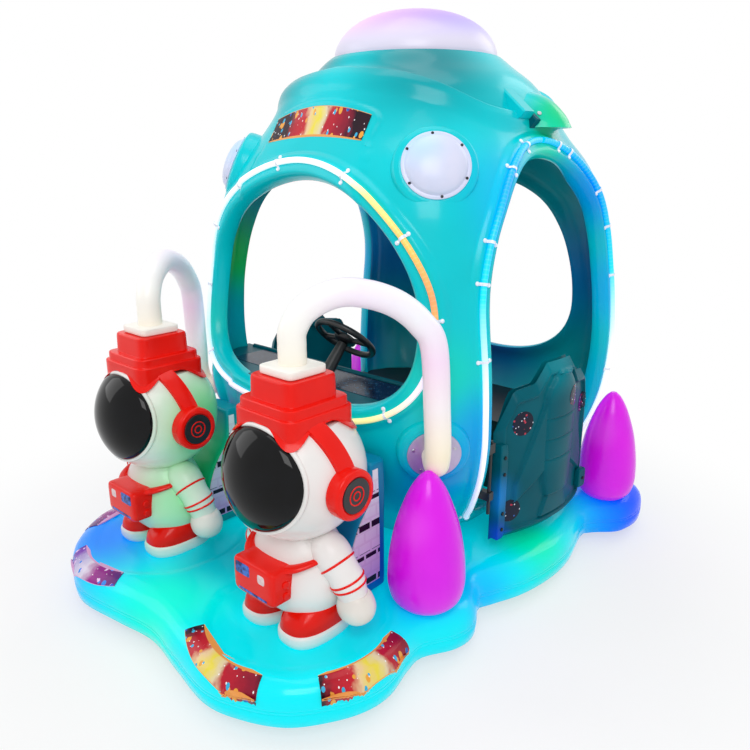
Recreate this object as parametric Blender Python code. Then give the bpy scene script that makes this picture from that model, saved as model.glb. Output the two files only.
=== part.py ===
"""A coin-free kiddie ride: a space capsule and two astronaut figures on a cloud-shaped base
that rocks on a steel floor frame. Metres, +Z up, the front faces -Y, and the machine's own
right side is +X. The origin is on the floor, under the middle of the machine."""

import math

import bmesh
import bpy
import numpy as np
from mathutils import Matrix, Vector

# ---------------------------------------------------------------- driving dimensions
GAP = 0.0003  # clearance between pieces that touch
RUN_GAP = 0.0006  # running clearance of a bore round its pin

# floor frame and drive
FOOT_HEIGHT = 0.025
FOOT_RADIUS = 0.03
FRAME_TUBE = 0.04
CROSS_STEP = 0.001  # a crossmember is this much inside its rails, above and below
CHASSIS_HALF_WIDTH = 0.38
CHASSIS_HALF_LENGTH = 0.85
PIVOT_Z = 0.105
PIVOT_RADIUS = 0.015
RIDE_RAIL_X = 0.30
RIDE_RAIL_HALF_LENGTH = 0.98
LUG_THICKNESS = 0.012
MOTOR_Y = 0.56
MOTOR_Z = 0.115
CRANK_THROW = 0.016
CRANK_RADIUS = 0.042
ROD_LENGTH = 0.19
ROD_THICKNESS = 0.018

# cloud base
SKIRT_GAP = 0.06
BASE_HEIGHT = 0.15
BASE_HALF_WIDTH = 0.92
BASE_HALF_LENGTH = 1.19
BASE_WALL = 0.012

# capsule
CAPSULE_Y = 0.32
CAPSULE_HALF_WIDTH = 0.768
CAPSULE_WALL = 0.03
CAPSULE_SIDES = 40  # facets round the plan
SHELL_TOP = 1.76  # height of the shells above the deck
ROOF_HEIGHT = 0.165
DOME_RADIUS = 0.345
DOME_HEIGHT = 0.19
WINDSCREEN_HALF_WIDTH = 0.59
DOORWAY_HALF_WIDTH = 0.44
REAR_WINDOW_HALF_WIDTH = 0.475
LED_RADIUS = 0.011
LED_SEAT = 0.0105  # from the shell to the middle of a light tube, whose sides are flats here
LED_OUTSIDE_OPENING = 0.038  # from the edge of an opening to the middle of its light tube
LAMP_RADIUS = 0.12
FLANGE_RADIUS = 0.10
PAD_MARGIN = 0.015  # a moulded pad is this much wider than what sits on it

# astronaut figures
ASTRONAUT_X = 0.42
ASTRONAUT_Y = -0.78
HELMET_RADIUS = 0.235
HELMET_Z = 0.55  # centre of the helmet above the deck
NECK_Z = 0.35
CROWN_Z = 0.73
CAP_HALF_WIDTH = 0.1375
CAP_HEIGHT = 0.15
PLATE_HALF_WIDTH = 0.08
PLATE_HEIGHT = 0.03
HOSE_RADIUS = 0.05
HOSE_RISE = 0.218  # from the plate to the top of the arch
EARPHONE_RADIUS = 0.083
EARPHONE_DEPTH = 0.045

# flame lights
FLAME_RADIUS = 0.126
FLAME_HEIGHT = 0.515
FLAME_PLACES = {"front": (0.722, -0.449), "rear": (0.785, 0.835)}

# cabin
DASH_Z = 0.65  # on a row of the profile, so that the wall is straight beside the shelf
DASH_THICKNESS = 0.05
DASH_REAR_Y = -0.08
WHEEL_RADIUS = 0.14
WHEEL_GRIP_RADIUS = 0.014
WHEEL_Y = -0.12
WHEEL_RISE = 0.15  # from the dashboard to the middle of the wheel
WHEEL_Z = DASH_Z + WHEEL_RISE
WHEEL_TILT = math.radians(42)
BUTTON_X = -0.20
BUTTON_RADIUS = 0.022
BUTTON_STEM_RADIUS = 0.010
BUTTON_STEM = 0.020
BUTTON_TRAVEL = 0.004
SEAT_HEIGHT = 0.35
SEAT_FRONT_Y = 0.50
SEAT_WALL = 0.012

# side doors
DOOR_FRONT_Y = 0.01
DOOR_REAR_Y = 0.65
DOOR_INSET = 0.068  # from the capsule's widest point to a door's face at its front and rear edges
DOOR_FACE_X = CAPSULE_HALF_WIDTH - DOOR_INSET
DOOR_BULGE = 0.07  # how much further out the middle of the face stands
DOOR_THICKNESS = 0.045
DOOR_BOTTOM = 0.05  # above the deck
DOOR_EDGE_TOP = 0.50
DOOR_SHOULDER = 0.67
DOOR_TOP = 0.765
DOOR_AJAR = math.radians(4)
HINGE_INSET = 0.073  # from the capsule's widest point to a hinge pin
HINGE_X = CAPSULE_HALF_WIDTH - HINGE_INSET
HINGE_Y = -0.035
HINGE_PIN_RADIUS = 0.007

DECK_Z = SKIRT_GAP + BASE_HEIGHT

# right half of the cloud outline, front notch to rear notch, as shares of the base's half sizes
CLOUD = (
    (0.0, -0.952), (0.207, -0.976), (0.435, -1.0), (0.591, -0.971), (0.736, -0.907),
    (0.833, -0.810), (0.886, -0.718), (0.893, -0.630), (0.858, -0.526), (0.851, -0.455),
    (0.916, -0.355), (0.917, -0.265), (0.835, -0.151), (0.852, -0.100), (0.912, 0.025),
    (0.939, 0.175), (0.927, 0.324), (0.862, 0.523), (0.890, 0.587), (0.985, 0.672),
    (1.0, 0.797), (0.935, 0.910), (0.740, 0.982), (0.478, 1.0), (0.217, 0.978),
    (0.0, 0.946),
)

# capsule profile: height above the deck, half width as a share, and squareness of the plan
PROFILE = (
    (0.0, 0.60, 4.0), (0.05, 0.64, 4.0), (0.20, 0.80, 4.0), (0.35, 0.911, 4.0),
    (0.50, 0.973, 4.0), (0.65, 0.997, 4.0), (0.78, 1.0, 4.0), (0.95, 0.984, 4.0),
    (1.10, 0.961, 4.0), (1.25, 0.937, 4.0), (1.40, 0.905, 3.8), (1.52, 0.845, 3.4),
    (1.62, 0.765, 3.0), (1.70, 0.712, 2.7), (1.76, 0.69, 2.5),
)


def clear_scene():
    for thing in list(bpy.data.objects):
        bpy.data.objects.remove(thing)


# ---------------------------------------------------------------- materials
def material(name, colour, roughness, metallic=0.0):
    made = bpy.data.materials.get(name) or bpy.data.materials.new(name)
    made.use_nodes = True
    shader = made.node_tree.nodes["Principled BSDF"]
    shader.inputs["Base Color"].default_value = (*colour, 1.0)
    shader.inputs["Roughness"].default_value = roughness
    shader.inputs["Metallic"].default_value = metallic
    return made


def turquoise_gelcoat():
    return material("turquoise_gelcoat", (0.0, 0.62, 0.65), 0.15)


def lit_blue_gelcoat():
    return material("lit_blue_gelcoat", (0.0, 0.75, 0.90), 0.18)


def deep_teal_gelcoat():
    return material("deep_teal_gelcoat", (0.0, 0.13, 0.17), 0.25)


def white_gelcoat():
    return material("white_gelcoat", (0.85, 0.85, 0.85), 0.2)


def red_gelcoat():
    return material("red_gelcoat", (0.80, 0.01, 0.01), 0.2)


def magenta_diffuser():
    return material("magenta_diffuser", (0.72, 0.0, 0.75), 0.3)


def opal_diffuser():
    return material("opal_diffuser", (0.85, 0.82, 0.90), 0.25)


def black_gloss():
    return material("black_gloss", (0.005, 0.005, 0.006), 0.08)


def black_plastic():
    return material("black_plastic", (0.01, 0.01, 0.012), 0.45)


def painted_steel():
    return material("painted_steel", (0.03, 0.03, 0.035), 0.5, 0.4)


def zinc_steel():
    return material("zinc_steel", (0.55, 0.56, 0.58), 0.3, 1.0)


def foot_rubber():
    return material("foot_rubber", (0.02, 0.02, 0.02), 0.8)


# ---------------------------------------------------------------- mesh helpers
def add_object(name, mesh, finish, parent=None):
    made = bpy.data.objects.new(name, mesh)
    mesh.materials.append(finish)
    bpy.context.scene.collection.objects.link(made)
    if parent:
        made.parent = parent
    return made


def mesh_from(name, points, faces):
    mesh = bpy.data.meshes.new(name)
    mesh.from_pydata([tuple(map(float, p)) for p in points], [], faces)
    build = bmesh.new()
    build.from_mesh(mesh)
    bmesh.ops.recalc_face_normals(build, faces=build.faces)
    build.to_mesh(mesh)
    build.free()
    return mesh


def loft(name, rings, finish, parent=None):
    """Closed body through rings of equal count, each ring counter-clockwise seen from above,
    given from the bottom up, with a flat face on the first and the last ring."""
    count = len(rings[0])
    points = [p for ring in rings for p in ring]
    faces = []
    for level in range(len(rings) - 1):
        for i in range(count):
            j = (i + 1) % count
            low, high = level * count, (level + 1) * count
            faces.append((low + i, low + j, high + j, high + i))
    faces.append(tuple(reversed(range(count))))
    faces.append(tuple(range(len(points) - count, len(points))))
    return add_object(name, mesh_from(name, points, faces), finish, parent)


def ring_of(radius_x, radius_y, z, count, centre=(0.0, 0.0), power=2.0):
    """Superellipse ring: power 2 is an ellipse, and 4 is a soft square."""
    angles = 2 * np.pi * (np.arange(count) + 0.5) / count
    cos, sin = np.cos(angles), np.sin(angles)
    reach = (np.abs(cos) ** power + np.abs(sin) ** power) ** (-1 / power)
    return [
        (centre[0] + radius_x * r * c, centre[1] + radius_y * r * s, z)
        for r, c, s in zip(reach, cos, sin)
    ]


def turned(name, profile, finish, count=24, parent=None):
    """Turned body about the local Z axis from (radius, z) pairs given from the bottom up."""
    return loft(name, [ring_of(r, r, z, count) for r, z in profile], finish, parent)


def box(name, low, high, finish, parent=None, bevel=0.0):
    points = [
        (x, y, z) for z in (low[2], high[2]) for x, y in (
            (low[0], low[1]), (high[0], low[1]), (high[0], high[1]), (low[0], high[1])
        )
    ]
    made = loft(name, [points[:4], points[4:]], finish, parent)
    if bevel:
        soften = made.modifiers.new("soften", "BEVEL")
        soften.width = bevel
        soften.segments = 2
    return made


def turn_to(thing, place, direction):
    """Places a thing with its local Z along the direction."""
    thing.rotation_mode = "QUATERNION"
    thing.rotation_quaternion = Vector(direction).to_track_quat("Z", "Y")
    thing.location = place
    return thing


def helper(thing):
    """Marks a solid that only shapes another one."""
    thing.hide_render = True
    thing.display_type = "WIRE"
    return thing


def combine(target, other, operation):
    change = target.modifiers.new(operation.lower() + "_" + other.name, "BOOLEAN")
    change.operation = operation
    change.object = helper(other)
    return target


def join(target, *others):
    for other in others:
        combine(target, other, "UNION")
    return target


def cut(target, *others):
    for other in others:
        combine(target, other, "DIFFERENCE")
    return target


def pivot_empty(name, place, parent=None):
    made = bpy.data.objects.new(name, None)
    made.location = place
    made.parent = parent
    bpy.context.scene.collection.objects.link(made)
    return made


def tube_along(name, points, radius, finish, sides=2):
    curve = bpy.data.curves.new(name, "CURVE")
    curve.dimensions = "3D"
    curve.bevel_depth = radius
    curve.bevel_resolution = sides
    curve.use_fill_caps = True
    line = curve.splines.new("POLY")
    line.points.add(len(points) - 1)
    line.points.foreach_set("co", [c for p in points for c in (*p, 1.0)])
    return add_object(name, curve, finish)


def smooth_path(points, steps, closed=False):
    """Catmull-Rom curve through the points, with an even number of steps in each stretch."""
    points = np.array(points, float)
    if closed:
        line = np.concatenate([points[-1:], points, points[:2]])
    else:
        line = np.concatenate([2 * points[:1] - points[1:2], points, 2 * points[-1:] - points[-2:-1]])
    found = []
    for a, b, c, d in zip(line[:-3], line[1:-2], line[2:-1], line[3:]):
        for t in np.arange(steps) / steps:
            found.append(
                0.5 * (2 * b + (c - a) * t + (2 * a - 5 * b + 4 * c - d) * t**2
                       + (3 * b - a - 3 * c + d) * t**3)
            )
    if not closed:
        found.append(points[-1])
    return np.array(found)


# ---------------------------------------------------------------- floor frame and drive
def chassis_frame():
    half, steel = FRAME_TUBE / 2, painted_steel()
    low, high = FOOT_HEIGHT, FOOT_HEIGHT + FRAME_TUBE
    rail = box(
        "chassis_frame", (CHASSIS_HALF_WIDTH - half, -CHASSIS_HALF_LENGTH, low),
        (CHASSIS_HALF_WIDTH + half, CHASSIS_HALF_LENGTH, high), steel,
    )
    join(rail, box(
        "chassis_rail_left", (-CHASSIS_HALF_WIDTH - half, -CHASSIS_HALF_LENGTH, low),
        (-CHASSIS_HALF_WIDTH + half, CHASSIS_HALF_LENGTH, high), steel,
    ))
    ends = CHASSIS_HALF_LENGTH - 2 * half
    for i, y in enumerate((-ends, 0.0, MOTOR_Y - 0.06, MOTOR_Y + 0.06, ends)):
        join(rail, box(
            f"chassis_cross_{i}", (-CHASSIS_HALF_WIDTH, y - half, low + CROSS_STEP),
            (CHASSIS_HALF_WIDTH, y + half, high - CROSS_STEP), steel,
        ))
    return rail


def levelling_feet():
    ends = CHASSIS_HALF_LENGTH - FOOT_RADIUS - 0.01
    places = [(x, y) for y in (-ends, ends) for x in (-CHASSIS_HALF_WIDTH, CHASSIS_HALF_WIDTH)]
    for i, (x, y) in enumerate(places):
        foot = turned(
            f"levelling_foot_{i + 1}",
            ((FOOT_RADIUS, 0.0), (FOOT_RADIUS, 0.008), (FOOT_RADIUS * 0.7, 0.012),
             (FOOT_RADIUS * 0.4, 0.013), (FOOT_RADIUS * 0.4, FOOT_HEIGHT - GAP)),
            foot_rubber(), 12,
        )
        foot.location = (x, y, 0)


def pivot():
    """A fixed shaft through two bearing blocks, on which the ride frame's lugs rock."""
    top = FOOT_HEIGHT + FRAME_TUBE + GAP
    for side, x in (("left", -CHASSIS_HALF_WIDTH), ("right", CHASSIS_HALF_WIDTH)):
        block = box(
            f"bearing_block_{side}", (x - 0.018, -0.04, top), (x + 0.018, 0.04, PIVOT_Z + 0.032),
            zinc_steel(), bevel=0.004,
        )
        bore = turned(f"bore_{side}", ((PIVOT_RADIUS + GAP, -0.03), (PIVOT_RADIUS + GAP, 0.03)),
                      zinc_steel())
        cut(block, turn_to(bore, (x, 0, PIVOT_Z), (1, 0, 0)))
    reach = CHASSIS_HALF_WIDTH + 0.022
    shaft = turned("pivot_shaft", ((PIVOT_RADIUS - 0.001, -reach), (PIVOT_RADIUS, -reach + 0.001),
                                   (PIVOT_RADIUS, reach - 0.001), (PIVOT_RADIUS - 0.001, reach)),
                   zinc_steel())
    turn_to(shaft, (0, 0, PIVOT_Z), (1, 0, 0))


def gearmotor():
    """Worm gearbox on the frame, its motor behind it, and a stub of shaft for the crank."""
    base = FOOT_HEIGHT + FRAME_TUBE - CROSS_STEP + GAP
    body = box("gearmotor", (-0.12, MOTOR_Y - 0.07, base), (-0.03, MOTOR_Y + 0.07, MOTOR_Z + 0.048),
               painted_steel(), bevel=0.006)
    motor = turned("motor_can", ((0.042, -0.08), (0.042, 0.08)), painted_steel())
    stub = turned("motor_stub", ((0.011, -0.03), (0.011, 0.0)), painted_steel())
    join(body, turn_to(motor, (-0.19, MOTOR_Y, MOTOR_Z - 0.002), (1, 0, 0)),
         turn_to(stub, (-0.004, MOTOR_Y, MOTOR_Z), (1, 0, 0)))


def crank():
    """Crank disc on the motor's shaft, with its pin, and the rod that the pin carries."""
    centre = pivot_empty("crank_axis", (0, MOTOR_Y, MOTOR_Z))
    disc = turned("crank_disc", ((CRANK_RADIUS, 0.0), (CRANK_RADIUS, 0.014)), zinc_steel(), 28,
                  centre)
    disc.rotation_euler = (0, math.pi / 2, 0)
    disc.location = (-0.004 + GAP, 0, 0)
    pin = turned("crank_pin", ((0.008, -0.02), (0.008, 0.022)), zinc_steel(), 16, centre)
    pin.rotation_euler = (0, math.pi / 2, 0)
    pin.location = (0.022, CRANK_THROW, 0)
    join(disc, pin)

    start = 0.017
    joint = pivot_empty("rod_axis", (0, MOTOR_Y + CRANK_THROW, MOTOR_Z))
    rod = turned("connecting_rod", ((0.02, 0.0), (0.02, ROD_THICKNESS)), zinc_steel(), 20, joint)
    rod.rotation_euler = (0, math.pi / 2, 0)
    rod.location = (start, 0, 0)
    shank = box("rod_shank", (start + 0.003, -0.009, 0.012),
                (start + ROD_THICKNESS - 0.003, 0.009, ROD_LENGTH - 0.008), zinc_steel(), joint)
    eye = turned("rod_eye", ((0.018, 0.0), (0.018, ROD_THICKNESS)), zinc_steel(), 20, joint)
    stub = turned("rod_top_pin", ((0.007, -0.004), (0.007, ROD_THICKNESS + 0.004)), zinc_steel(),
                  16, joint)
    for thing in (eye, stub):
        thing.rotation_euler = (0, math.pi / 2, 0)
        thing.location = (start, 0, ROD_LENGTH)
    bore = turned("rod_bore", ((0.008 + RUN_GAP, -0.01), (0.008 + RUN_GAP, 0.04)), zinc_steel(), 16,
                  joint)
    bore.rotation_euler = (0, math.pi / 2, 0)
    bore.location = (start, 0, 0)
    cut(join(rod, shank, eye, stub), bore)


def ride_frame():
    """Welded tubes under the deck, the rocking lugs, and the clevis that the rod pushes."""
    half, steel = FRAME_TUBE / 2, painted_steel()
    high = DECK_Z - BASE_WALL - GAP
    low = high - FRAME_TUBE
    frame = box("ride_frame", (RIDE_RAIL_X - half, -RIDE_RAIL_HALF_LENGTH, low),
                (RIDE_RAIL_X + half, RIDE_RAIL_HALF_LENGTH, high), steel)
    join(frame, box("ride_rail_left", (-RIDE_RAIL_X - half, -RIDE_RAIL_HALF_LENGTH, low),
                    (-RIDE_RAIL_X + half, RIDE_RAIL_HALF_LENGTH, high), steel))
    clevis_y = MOTOR_Y + CRANK_THROW + 0.11
    ends = RIDE_RAIL_HALF_LENGTH - FRAME_TUBE
    for i, y in enumerate((-ends, 0.0, clevis_y, ends)):
        join(frame, box(f"ride_cross_{i}", (-RIDE_RAIL_X, y - half, low + CROSS_STEP),
                        (RIDE_RAIL_X, y + half, high - CROSS_STEP), steel))
    for side, x in (("left", -RIDE_RAIL_X), ("right", RIDE_RAIL_X)):
        lug = box(f"lug_{side}", (x - LUG_THICKNESS / 2, -0.03, PIVOT_Z - 0.03),
                  (x + LUG_THICKNESS / 2, 0.03, low + 0.01), steel)
        join(frame, lug)
    start, end = 0.017 - 0.012, 0.017 + ROD_THICKNESS + 0.012
    roof = MOTOR_Z + ROD_LENGTH + 0.075
    rod_y = MOTOR_Y + CRANK_THROW
    join(
        frame,
        box("clevis_post", (start, clevis_y - 0.012, high - 0.01),
            (end, clevis_y + 0.012, roof + 0.01), steel),
        box("clevis_bridge", (start + 0.0005, rod_y - 0.04, roof),
            (end - 0.0005, clevis_y + 0.01, roof + 0.009), steel),
    )
    for i, (x0, x1) in enumerate(((start + 0.001, start + 0.006), (end - 0.006, end - 0.001))):
        join(frame, box(f"clevis_cheek_{i}", (x0, rod_y - 0.035, roof - 0.11),
                        (x1, rod_y + 0.035, roof + 0.005), steel))
    reach = RIDE_RAIL_X + 0.05
    bore = turned("lug_bore", ((PIVOT_RADIUS + RUN_GAP, -reach), (PIVOT_RADIUS + RUN_GAP, reach)),
                  steel)
    return cut(frame, turn_to(bore, (0, 0, PIVOT_Z), (1, 0, 0)))


# ---------------------------------------------------------------- cloud base
def cloud_outline():
    right = [(x * BASE_HALF_WIDTH, y * BASE_HALF_LENGTH) for x, y in CLOUD]
    left = [(-x, y) for x, y in right[-2:0:-1]]
    return smooth_path(right + left, 2, closed=True)


def inset(outline, depth):
    """The outline moved inwards along its own normals."""
    along = np.roll(outline, -1, axis=0) - np.roll(outline, 1, axis=0)
    along /= np.linalg.norm(along, axis=1)[:, None]
    inwards = np.stack([-along[:, 1], along[:, 0]], axis=1)
    return outline + inwards * depth


def base_shell():
    """An open-bottomed moulding: a rounded skirt and a flat deck, with a hatch for the rod."""
    outline = cloud_outline()
    skirt = ((0.008, 0.0), (0.0, 0.045), (0.0, 0.10), (0.015, 0.135), (0.045, BASE_HEIGHT))
    lining = ((0.050, BASE_HEIGHT - BASE_WALL), (BASE_WALL, 0.10), (BASE_WALL + 0.007, 0.0))
    rings = [
        [(x, y, SKIRT_GAP + z) for x, y in inset(outline, depth)] for depth, z in skirt + lining
    ]
    count = len(outline)
    points = [p for ring in rings for p in ring]
    faces = []
    for level in range(len(rings)):
        if level == len(skirt) - 1:
            continue
        low, high = level * count, ((level + 1) % len(rings)) * count
        for i in range(count):
            j = (i + 1) % count
            faces.append((low + i, low + j, high + j, high + i))
    deck = (len(skirt) - 1) * count
    under = len(skirt) * count
    faces.append(tuple(range(deck, deck + count)))
    faces.append(tuple(reversed(range(under, under + count))))
    shell = add_object("base_shell", mesh_from("base_shell", points, faces), lit_blue_gelcoat())
    hatch = box("hatch", (-0.04, MOTOR_Y - 0.035, DECK_Z - 0.05),
                (0.09, MOTOR_Y + 0.16, DECK_Z + 0.05), lit_blue_gelcoat())
    return cut(shell, hatch)


# ---------------------------------------------------------------- capsule
def capsule_half_width(z):
    heights = [row[0] for row in PROFILE]
    return CAPSULE_HALF_WIDTH * np.interp(z, heights, [row[1] for row in PROFILE])


def capsule_power(z):
    return np.interp(z, [row[0] for row in PROFILE], [row[2] for row in PROFILE])


def capsule_depth(across, z, extra=0.0):
    """How far out the capsule's face stands, at a distance across it and a height."""
    half = capsule_half_width(z) + extra
    power = capsule_power(z)
    return half * max(1e-6, 1 - min(0.999, abs(across) / half) ** power) ** (1 / power)


def oval(half_width, middle, up, down, power_up, power_down, count=40):
    """Egg-shaped outline of an opening as (across, height above the deck) points."""
    points = []
    for angle in 2 * np.pi * np.arange(count) / count:
        cos, sin = math.cos(angle), math.sin(angle)
        rise, power = (up, power_up) if sin >= 0 else (down, power_down)
        reach = (abs(cos) ** power + abs(sin) ** power) ** (-1 / power)
        points.append((half_width * reach * cos, middle + rise * reach * sin))
    return points


def windscreen_outline(margin=0.0):
    return oval(WINDSCREEN_HALF_WIDTH + margin, 0.95, 0.525 + margin, 0.325 + margin, 1.95, 3.0)


def rear_window_outline(margin=0.0):
    return oval(REAR_WINDOW_HALF_WIDTH + margin, 0.90, 0.56 + margin, 0.35 + margin, 2.0, 2.3)


def doorway_outline(margin=0.0):
    return oval(DOORWAY_HALF_WIDTH + margin, 0.75, 0.80 + margin, 0.71 + margin, 2.6, 2.2)


def prism(name, outline, low, high, along_x=False):
    """A straight solid with an outline of (across, height) points, from low to high."""
    if along_x:
        rings = [[(d, CAPSULE_Y + a, DECK_Z + z) for a, z in outline] for d in (low, high)]
    else:
        rings = [[(-a, d, DECK_Z + z) for a, z in outline] for d in (low, high)]
    return loft(name, rings, turquoise_gelcoat())


def capsule_ring(z, inset_by, count, level=None):
    half = capsule_half_width(z) - inset_by
    return ring_of(half, half, DECK_Z + (z if level is None else level), count, (0.0, CAPSULE_Y),
                   capsule_power(z))


def capsule_body(name):
    """The whole hollow capsule, open at the bottom and the top."""
    count = CAPSULE_SIDES
    heights = [row[0] for row in PROFILE]
    outer = [capsule_ring(z, 0.0, count) for z in heights]
    outer[0] = capsule_ring(0.0, 0.0, count, GAP)
    inner = [capsule_ring(z, CAPSULE_WALL, count) for z in heights]
    inner[0] = capsule_ring(0.0, CAPSULE_WALL, count, GAP)
    rings = outer + inner[::-1]
    points = [p for ring in rings for p in ring]
    faces = []
    for level in range(len(rings)):
        low, high = level * count, ((level + 1) % len(rings)) * count
        for i in range(count):
            j = (i + 1) % count
            faces.append((low + i, low + j, high + j, high + i))
    return add_object(name, mesh_from(name, points, faces), turquoise_gelcoat())


def corner_place(z, stand_out=0.0):
    """Point and outward direction on the capsule's front right corner at a height."""
    half, power = capsule_half_width(z), capsule_power(z)
    reach = half * math.sqrt(2) * 2 ** (-1 / power)
    step = 0.02
    lower = capsule_half_width(z - step) * math.sqrt(2) * 2 ** (-1 / capsule_power(z - step))
    upper = capsule_half_width(z + step) * math.sqrt(2) * 2 ** (-1 / capsule_power(z + step))
    slope = (upper - lower) / (2 * step)
    out = Vector((math.sqrt(0.5), -math.sqrt(0.5), -slope)).normalized()
    side = (reach + stand_out) * math.sqrt(0.5)
    return Vector((side, CAPSULE_Y - side, DECK_Z + z)), out


LAMP_Z = 1.51
FLANGE_Z = 0.52
LAMP_PAD = 0.012  # how far a pad's flat face stands out of the curved corner
FLANGE_PAD = 0.010


def corner_pads(side):
    """Two moulded pads on a front corner, one for the lamp and one for the hose flange."""
    pads = []
    for label, z, radius, stand in (
        ("lamp", LAMP_Z, LAMP_RADIUS, LAMP_PAD), ("flange", FLANGE_Z, FLANGE_RADIUS, FLANGE_PAD)
    ):
        place, out = corner_place(z)
        pad = turned(f"{label}_pad_{side}", ((radius + PAD_MARGIN, -0.03), (radius + PAD_MARGIN, stand - 0.004),
                                             (radius + PAD_MARGIN - 0.006, stand)),
                     turquoise_gelcoat(), 20)
        if side == "left":
            place.x, out.x = -place.x, -out.x
        pads.append(turn_to(pad, place, out))
    return pads


def capsule_shells():
    """Front and rear mouldings, which meet over the doorways and under them."""
    reach = 1.2
    seam = GAP / 2
    front = capsule_body("capsule_front_shell")
    join(front, *corner_pads("right"), *corner_pads("left"))
    cut(
        front,
        prism("windscreen_cutter", windscreen_outline(), CAPSULE_Y - reach, CAPSULE_Y - 0.2),
        prism("doorway_cutter", doorway_outline(), -reach, reach, along_x=True),
        box("rear_half_cutter", (-reach, CAPSULE_Y - seam, -0.5), (reach, CAPSULE_Y + reach, 3),
            turquoise_gelcoat()),
    )
    rear = capsule_body("capsule_rear_shell")
    cut(
        rear,
        prism("rear_window_cutter", rear_window_outline(), CAPSULE_Y + 0.2, CAPSULE_Y + reach),
        prism("doorway_cutter_2", doorway_outline(), -reach, reach, along_x=True),
        box("front_half_cutter", (-reach, CAPSULE_Y - reach, -0.5), (reach, CAPSULE_Y + seam, 3),
            turquoise_gelcoat()),
    )


def roof():
    """The neck that closes the shells, with a hood rib on each side, and the lit dome on it."""
    count = CAPSULE_SIDES
    top_half = capsule_half_width(SHELL_TOP)
    base = DECK_Z + SHELL_TOP + GAP
    start = top_half - 0.002
    neck = loft("roof_cap", [
        ring_of(start, start, base, count, (0, CAPSULE_Y), 2.5),
        ring_of(start * 0.86, start * 0.86, base + ROOF_HEIGHT * 0.42, count, (0, CAPSULE_Y), 2.3),
        ring_of(start * 0.72, start * 0.72, base + ROOF_HEIGHT * 0.78, count, (0, CAPSULE_Y), 2.1),
        ring_of(DOME_RADIUS + 0.012, DOME_RADIUS + 0.012, base + ROOF_HEIGHT, count, (0, CAPSULE_Y), 2.0),
    ], turquoise_gelcoat())
    for side, sign in (("right", 1), ("left", -1)):
        rib = loft(f"hood_{side}", [
            sorted_ring([(sign * x, CAPSULE_Y + y, z) for x, y in
                         ((inner, -w), (outer, -w), (outer, w), (inner, w))])
            for inner, outer, w, z in (
                (0.40, top_half + 0.045, 0.10, base + 0.0),
                (0.36, top_half + 0.03, 0.095, base + 0.03),
                (0.30, DOME_RADIUS + 0.05, 0.08, base + ROOF_HEIGHT - 0.004),
            )
        ], turquoise_gelcoat())
        join(neck, rib)
    profile = [
        (DOME_RADIUS * math.cos(a) ** 0.8, DOME_HEIGHT * math.sin(a))
        for a in np.radians((0, 16, 32, 50, 68, 84))
    ]
    dome = turned("roof_dome", profile, opal_diffuser(), 24)
    dome.location = (0, CAPSULE_Y, base + ROOF_HEIGHT + GAP)


def sorted_ring(points):
    """The same ring counter-clockwise seen from above."""
    area = sum(
        a[0] * b[1] - b[0] * a[1] for a, b in zip(points, points[1:] + points[:1])
    )
    return points if area > 0 else points[::-1]


def corner_lamps():
    for side in ("right", "left"):
        place, out = corner_place(LAMP_Z)
        if side == "left":
            place.x, out.x = -place.x, -out.x
        profile = ((LAMP_RADIUS, 0.0), (LAMP_RADIUS, 0.006), (LAMP_RADIUS * 0.80, 0.023),
                   (LAMP_RADIUS * 0.45, 0.037), (LAMP_RADIUS * 0.12, 0.041))
        lamp = turned(f"corner_lamp_{side}", profile, opal_diffuser(), 20)
        turn_to(lamp, place + out * (LAMP_PAD + GAP), out)


def face_point(across, z, facing, stand_out):
    """Point on the capsule's surface, at a height above the deck, moved straight out of it."""
    step = 0.004
    depth = capsule_depth(across, z)
    tilt_a = (capsule_depth(across + step, z) - capsule_depth(across - step, z)) / (2 * step)
    tilt_z = (capsule_depth(across, z + step) - capsule_depth(across, z - step)) / (2 * step)
    out = Vector((-tilt_a, 1.0, -tilt_z)).normalized() * stand_out
    a, d, h = across + out.x, depth + out.y, z + out.z
    if facing == "front":
        return (a, CAPSULE_Y - d, DECK_Z + h)
    return ((d if facing == "right" else -d), CAPSULE_Y + a, DECK_Z + h)


def led_tubes():
    """Light tubes in front of the openings' edges: one round the windscreen, and a front and
    a rear run at each doorway, which end just above the sill."""
    stand = LED_SEAT
    outline = windscreen_outline(LED_OUTSIDE_OPENING)
    line = smooth_path(outline, 2, closed=True)
    points = [face_point(a, z, "front", stand) for a, z in line]
    tube = tube_along("windscreen_light_tube", points, LED_RADIUS, opal_diffuser(), 0)
    tube.data.splines[0].use_cyclic_u = True
    outline = smooth_path(doorway_outline(LED_OUTSIDE_OPENING), 2, closed=True)
    lowest = 0.08
    for facing in ("right", "left"):
        for run, keep in (("front", lambda a: a < -0.012), ("rear", lambda a: a > 0.012)):
            half = sorted((p for p in outline if keep(p[0]) and p[1] > lowest), key=lambda p: p[1])
            points = [face_point(a, z, facing, stand) for a, z in half]
            tube_along(f"doorway_light_{run}_{facing}", points, LED_RADIUS, opal_diffuser(), 0)


# ---------------------------------------------------------------- flame lights
def flame_lights():
    shape = ((0.50, 0.0), (0.80, 0.04), (1.0, 0.22), (0.97, 0.40), (0.80, 0.63), (0.50, 0.85),
             (0.22, 0.96), (0.05, 1.0))
    for end, (x, y) in FLAME_PLACES.items():
        for side, sign in (("right", 1), ("left", -1)):
            profile = [(FLAME_RADIUS * r, FLAME_HEIGHT * z) for r, z in shape]
            flame = turned(f"flame_light_{end}_{side}", profile, magenta_diffuser(), 14)
            flame.location = (sign * x, y, DECK_Z + GAP)


# ---------------------------------------------------------------- astronauts
FIGURE_SIDES = 14


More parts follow.
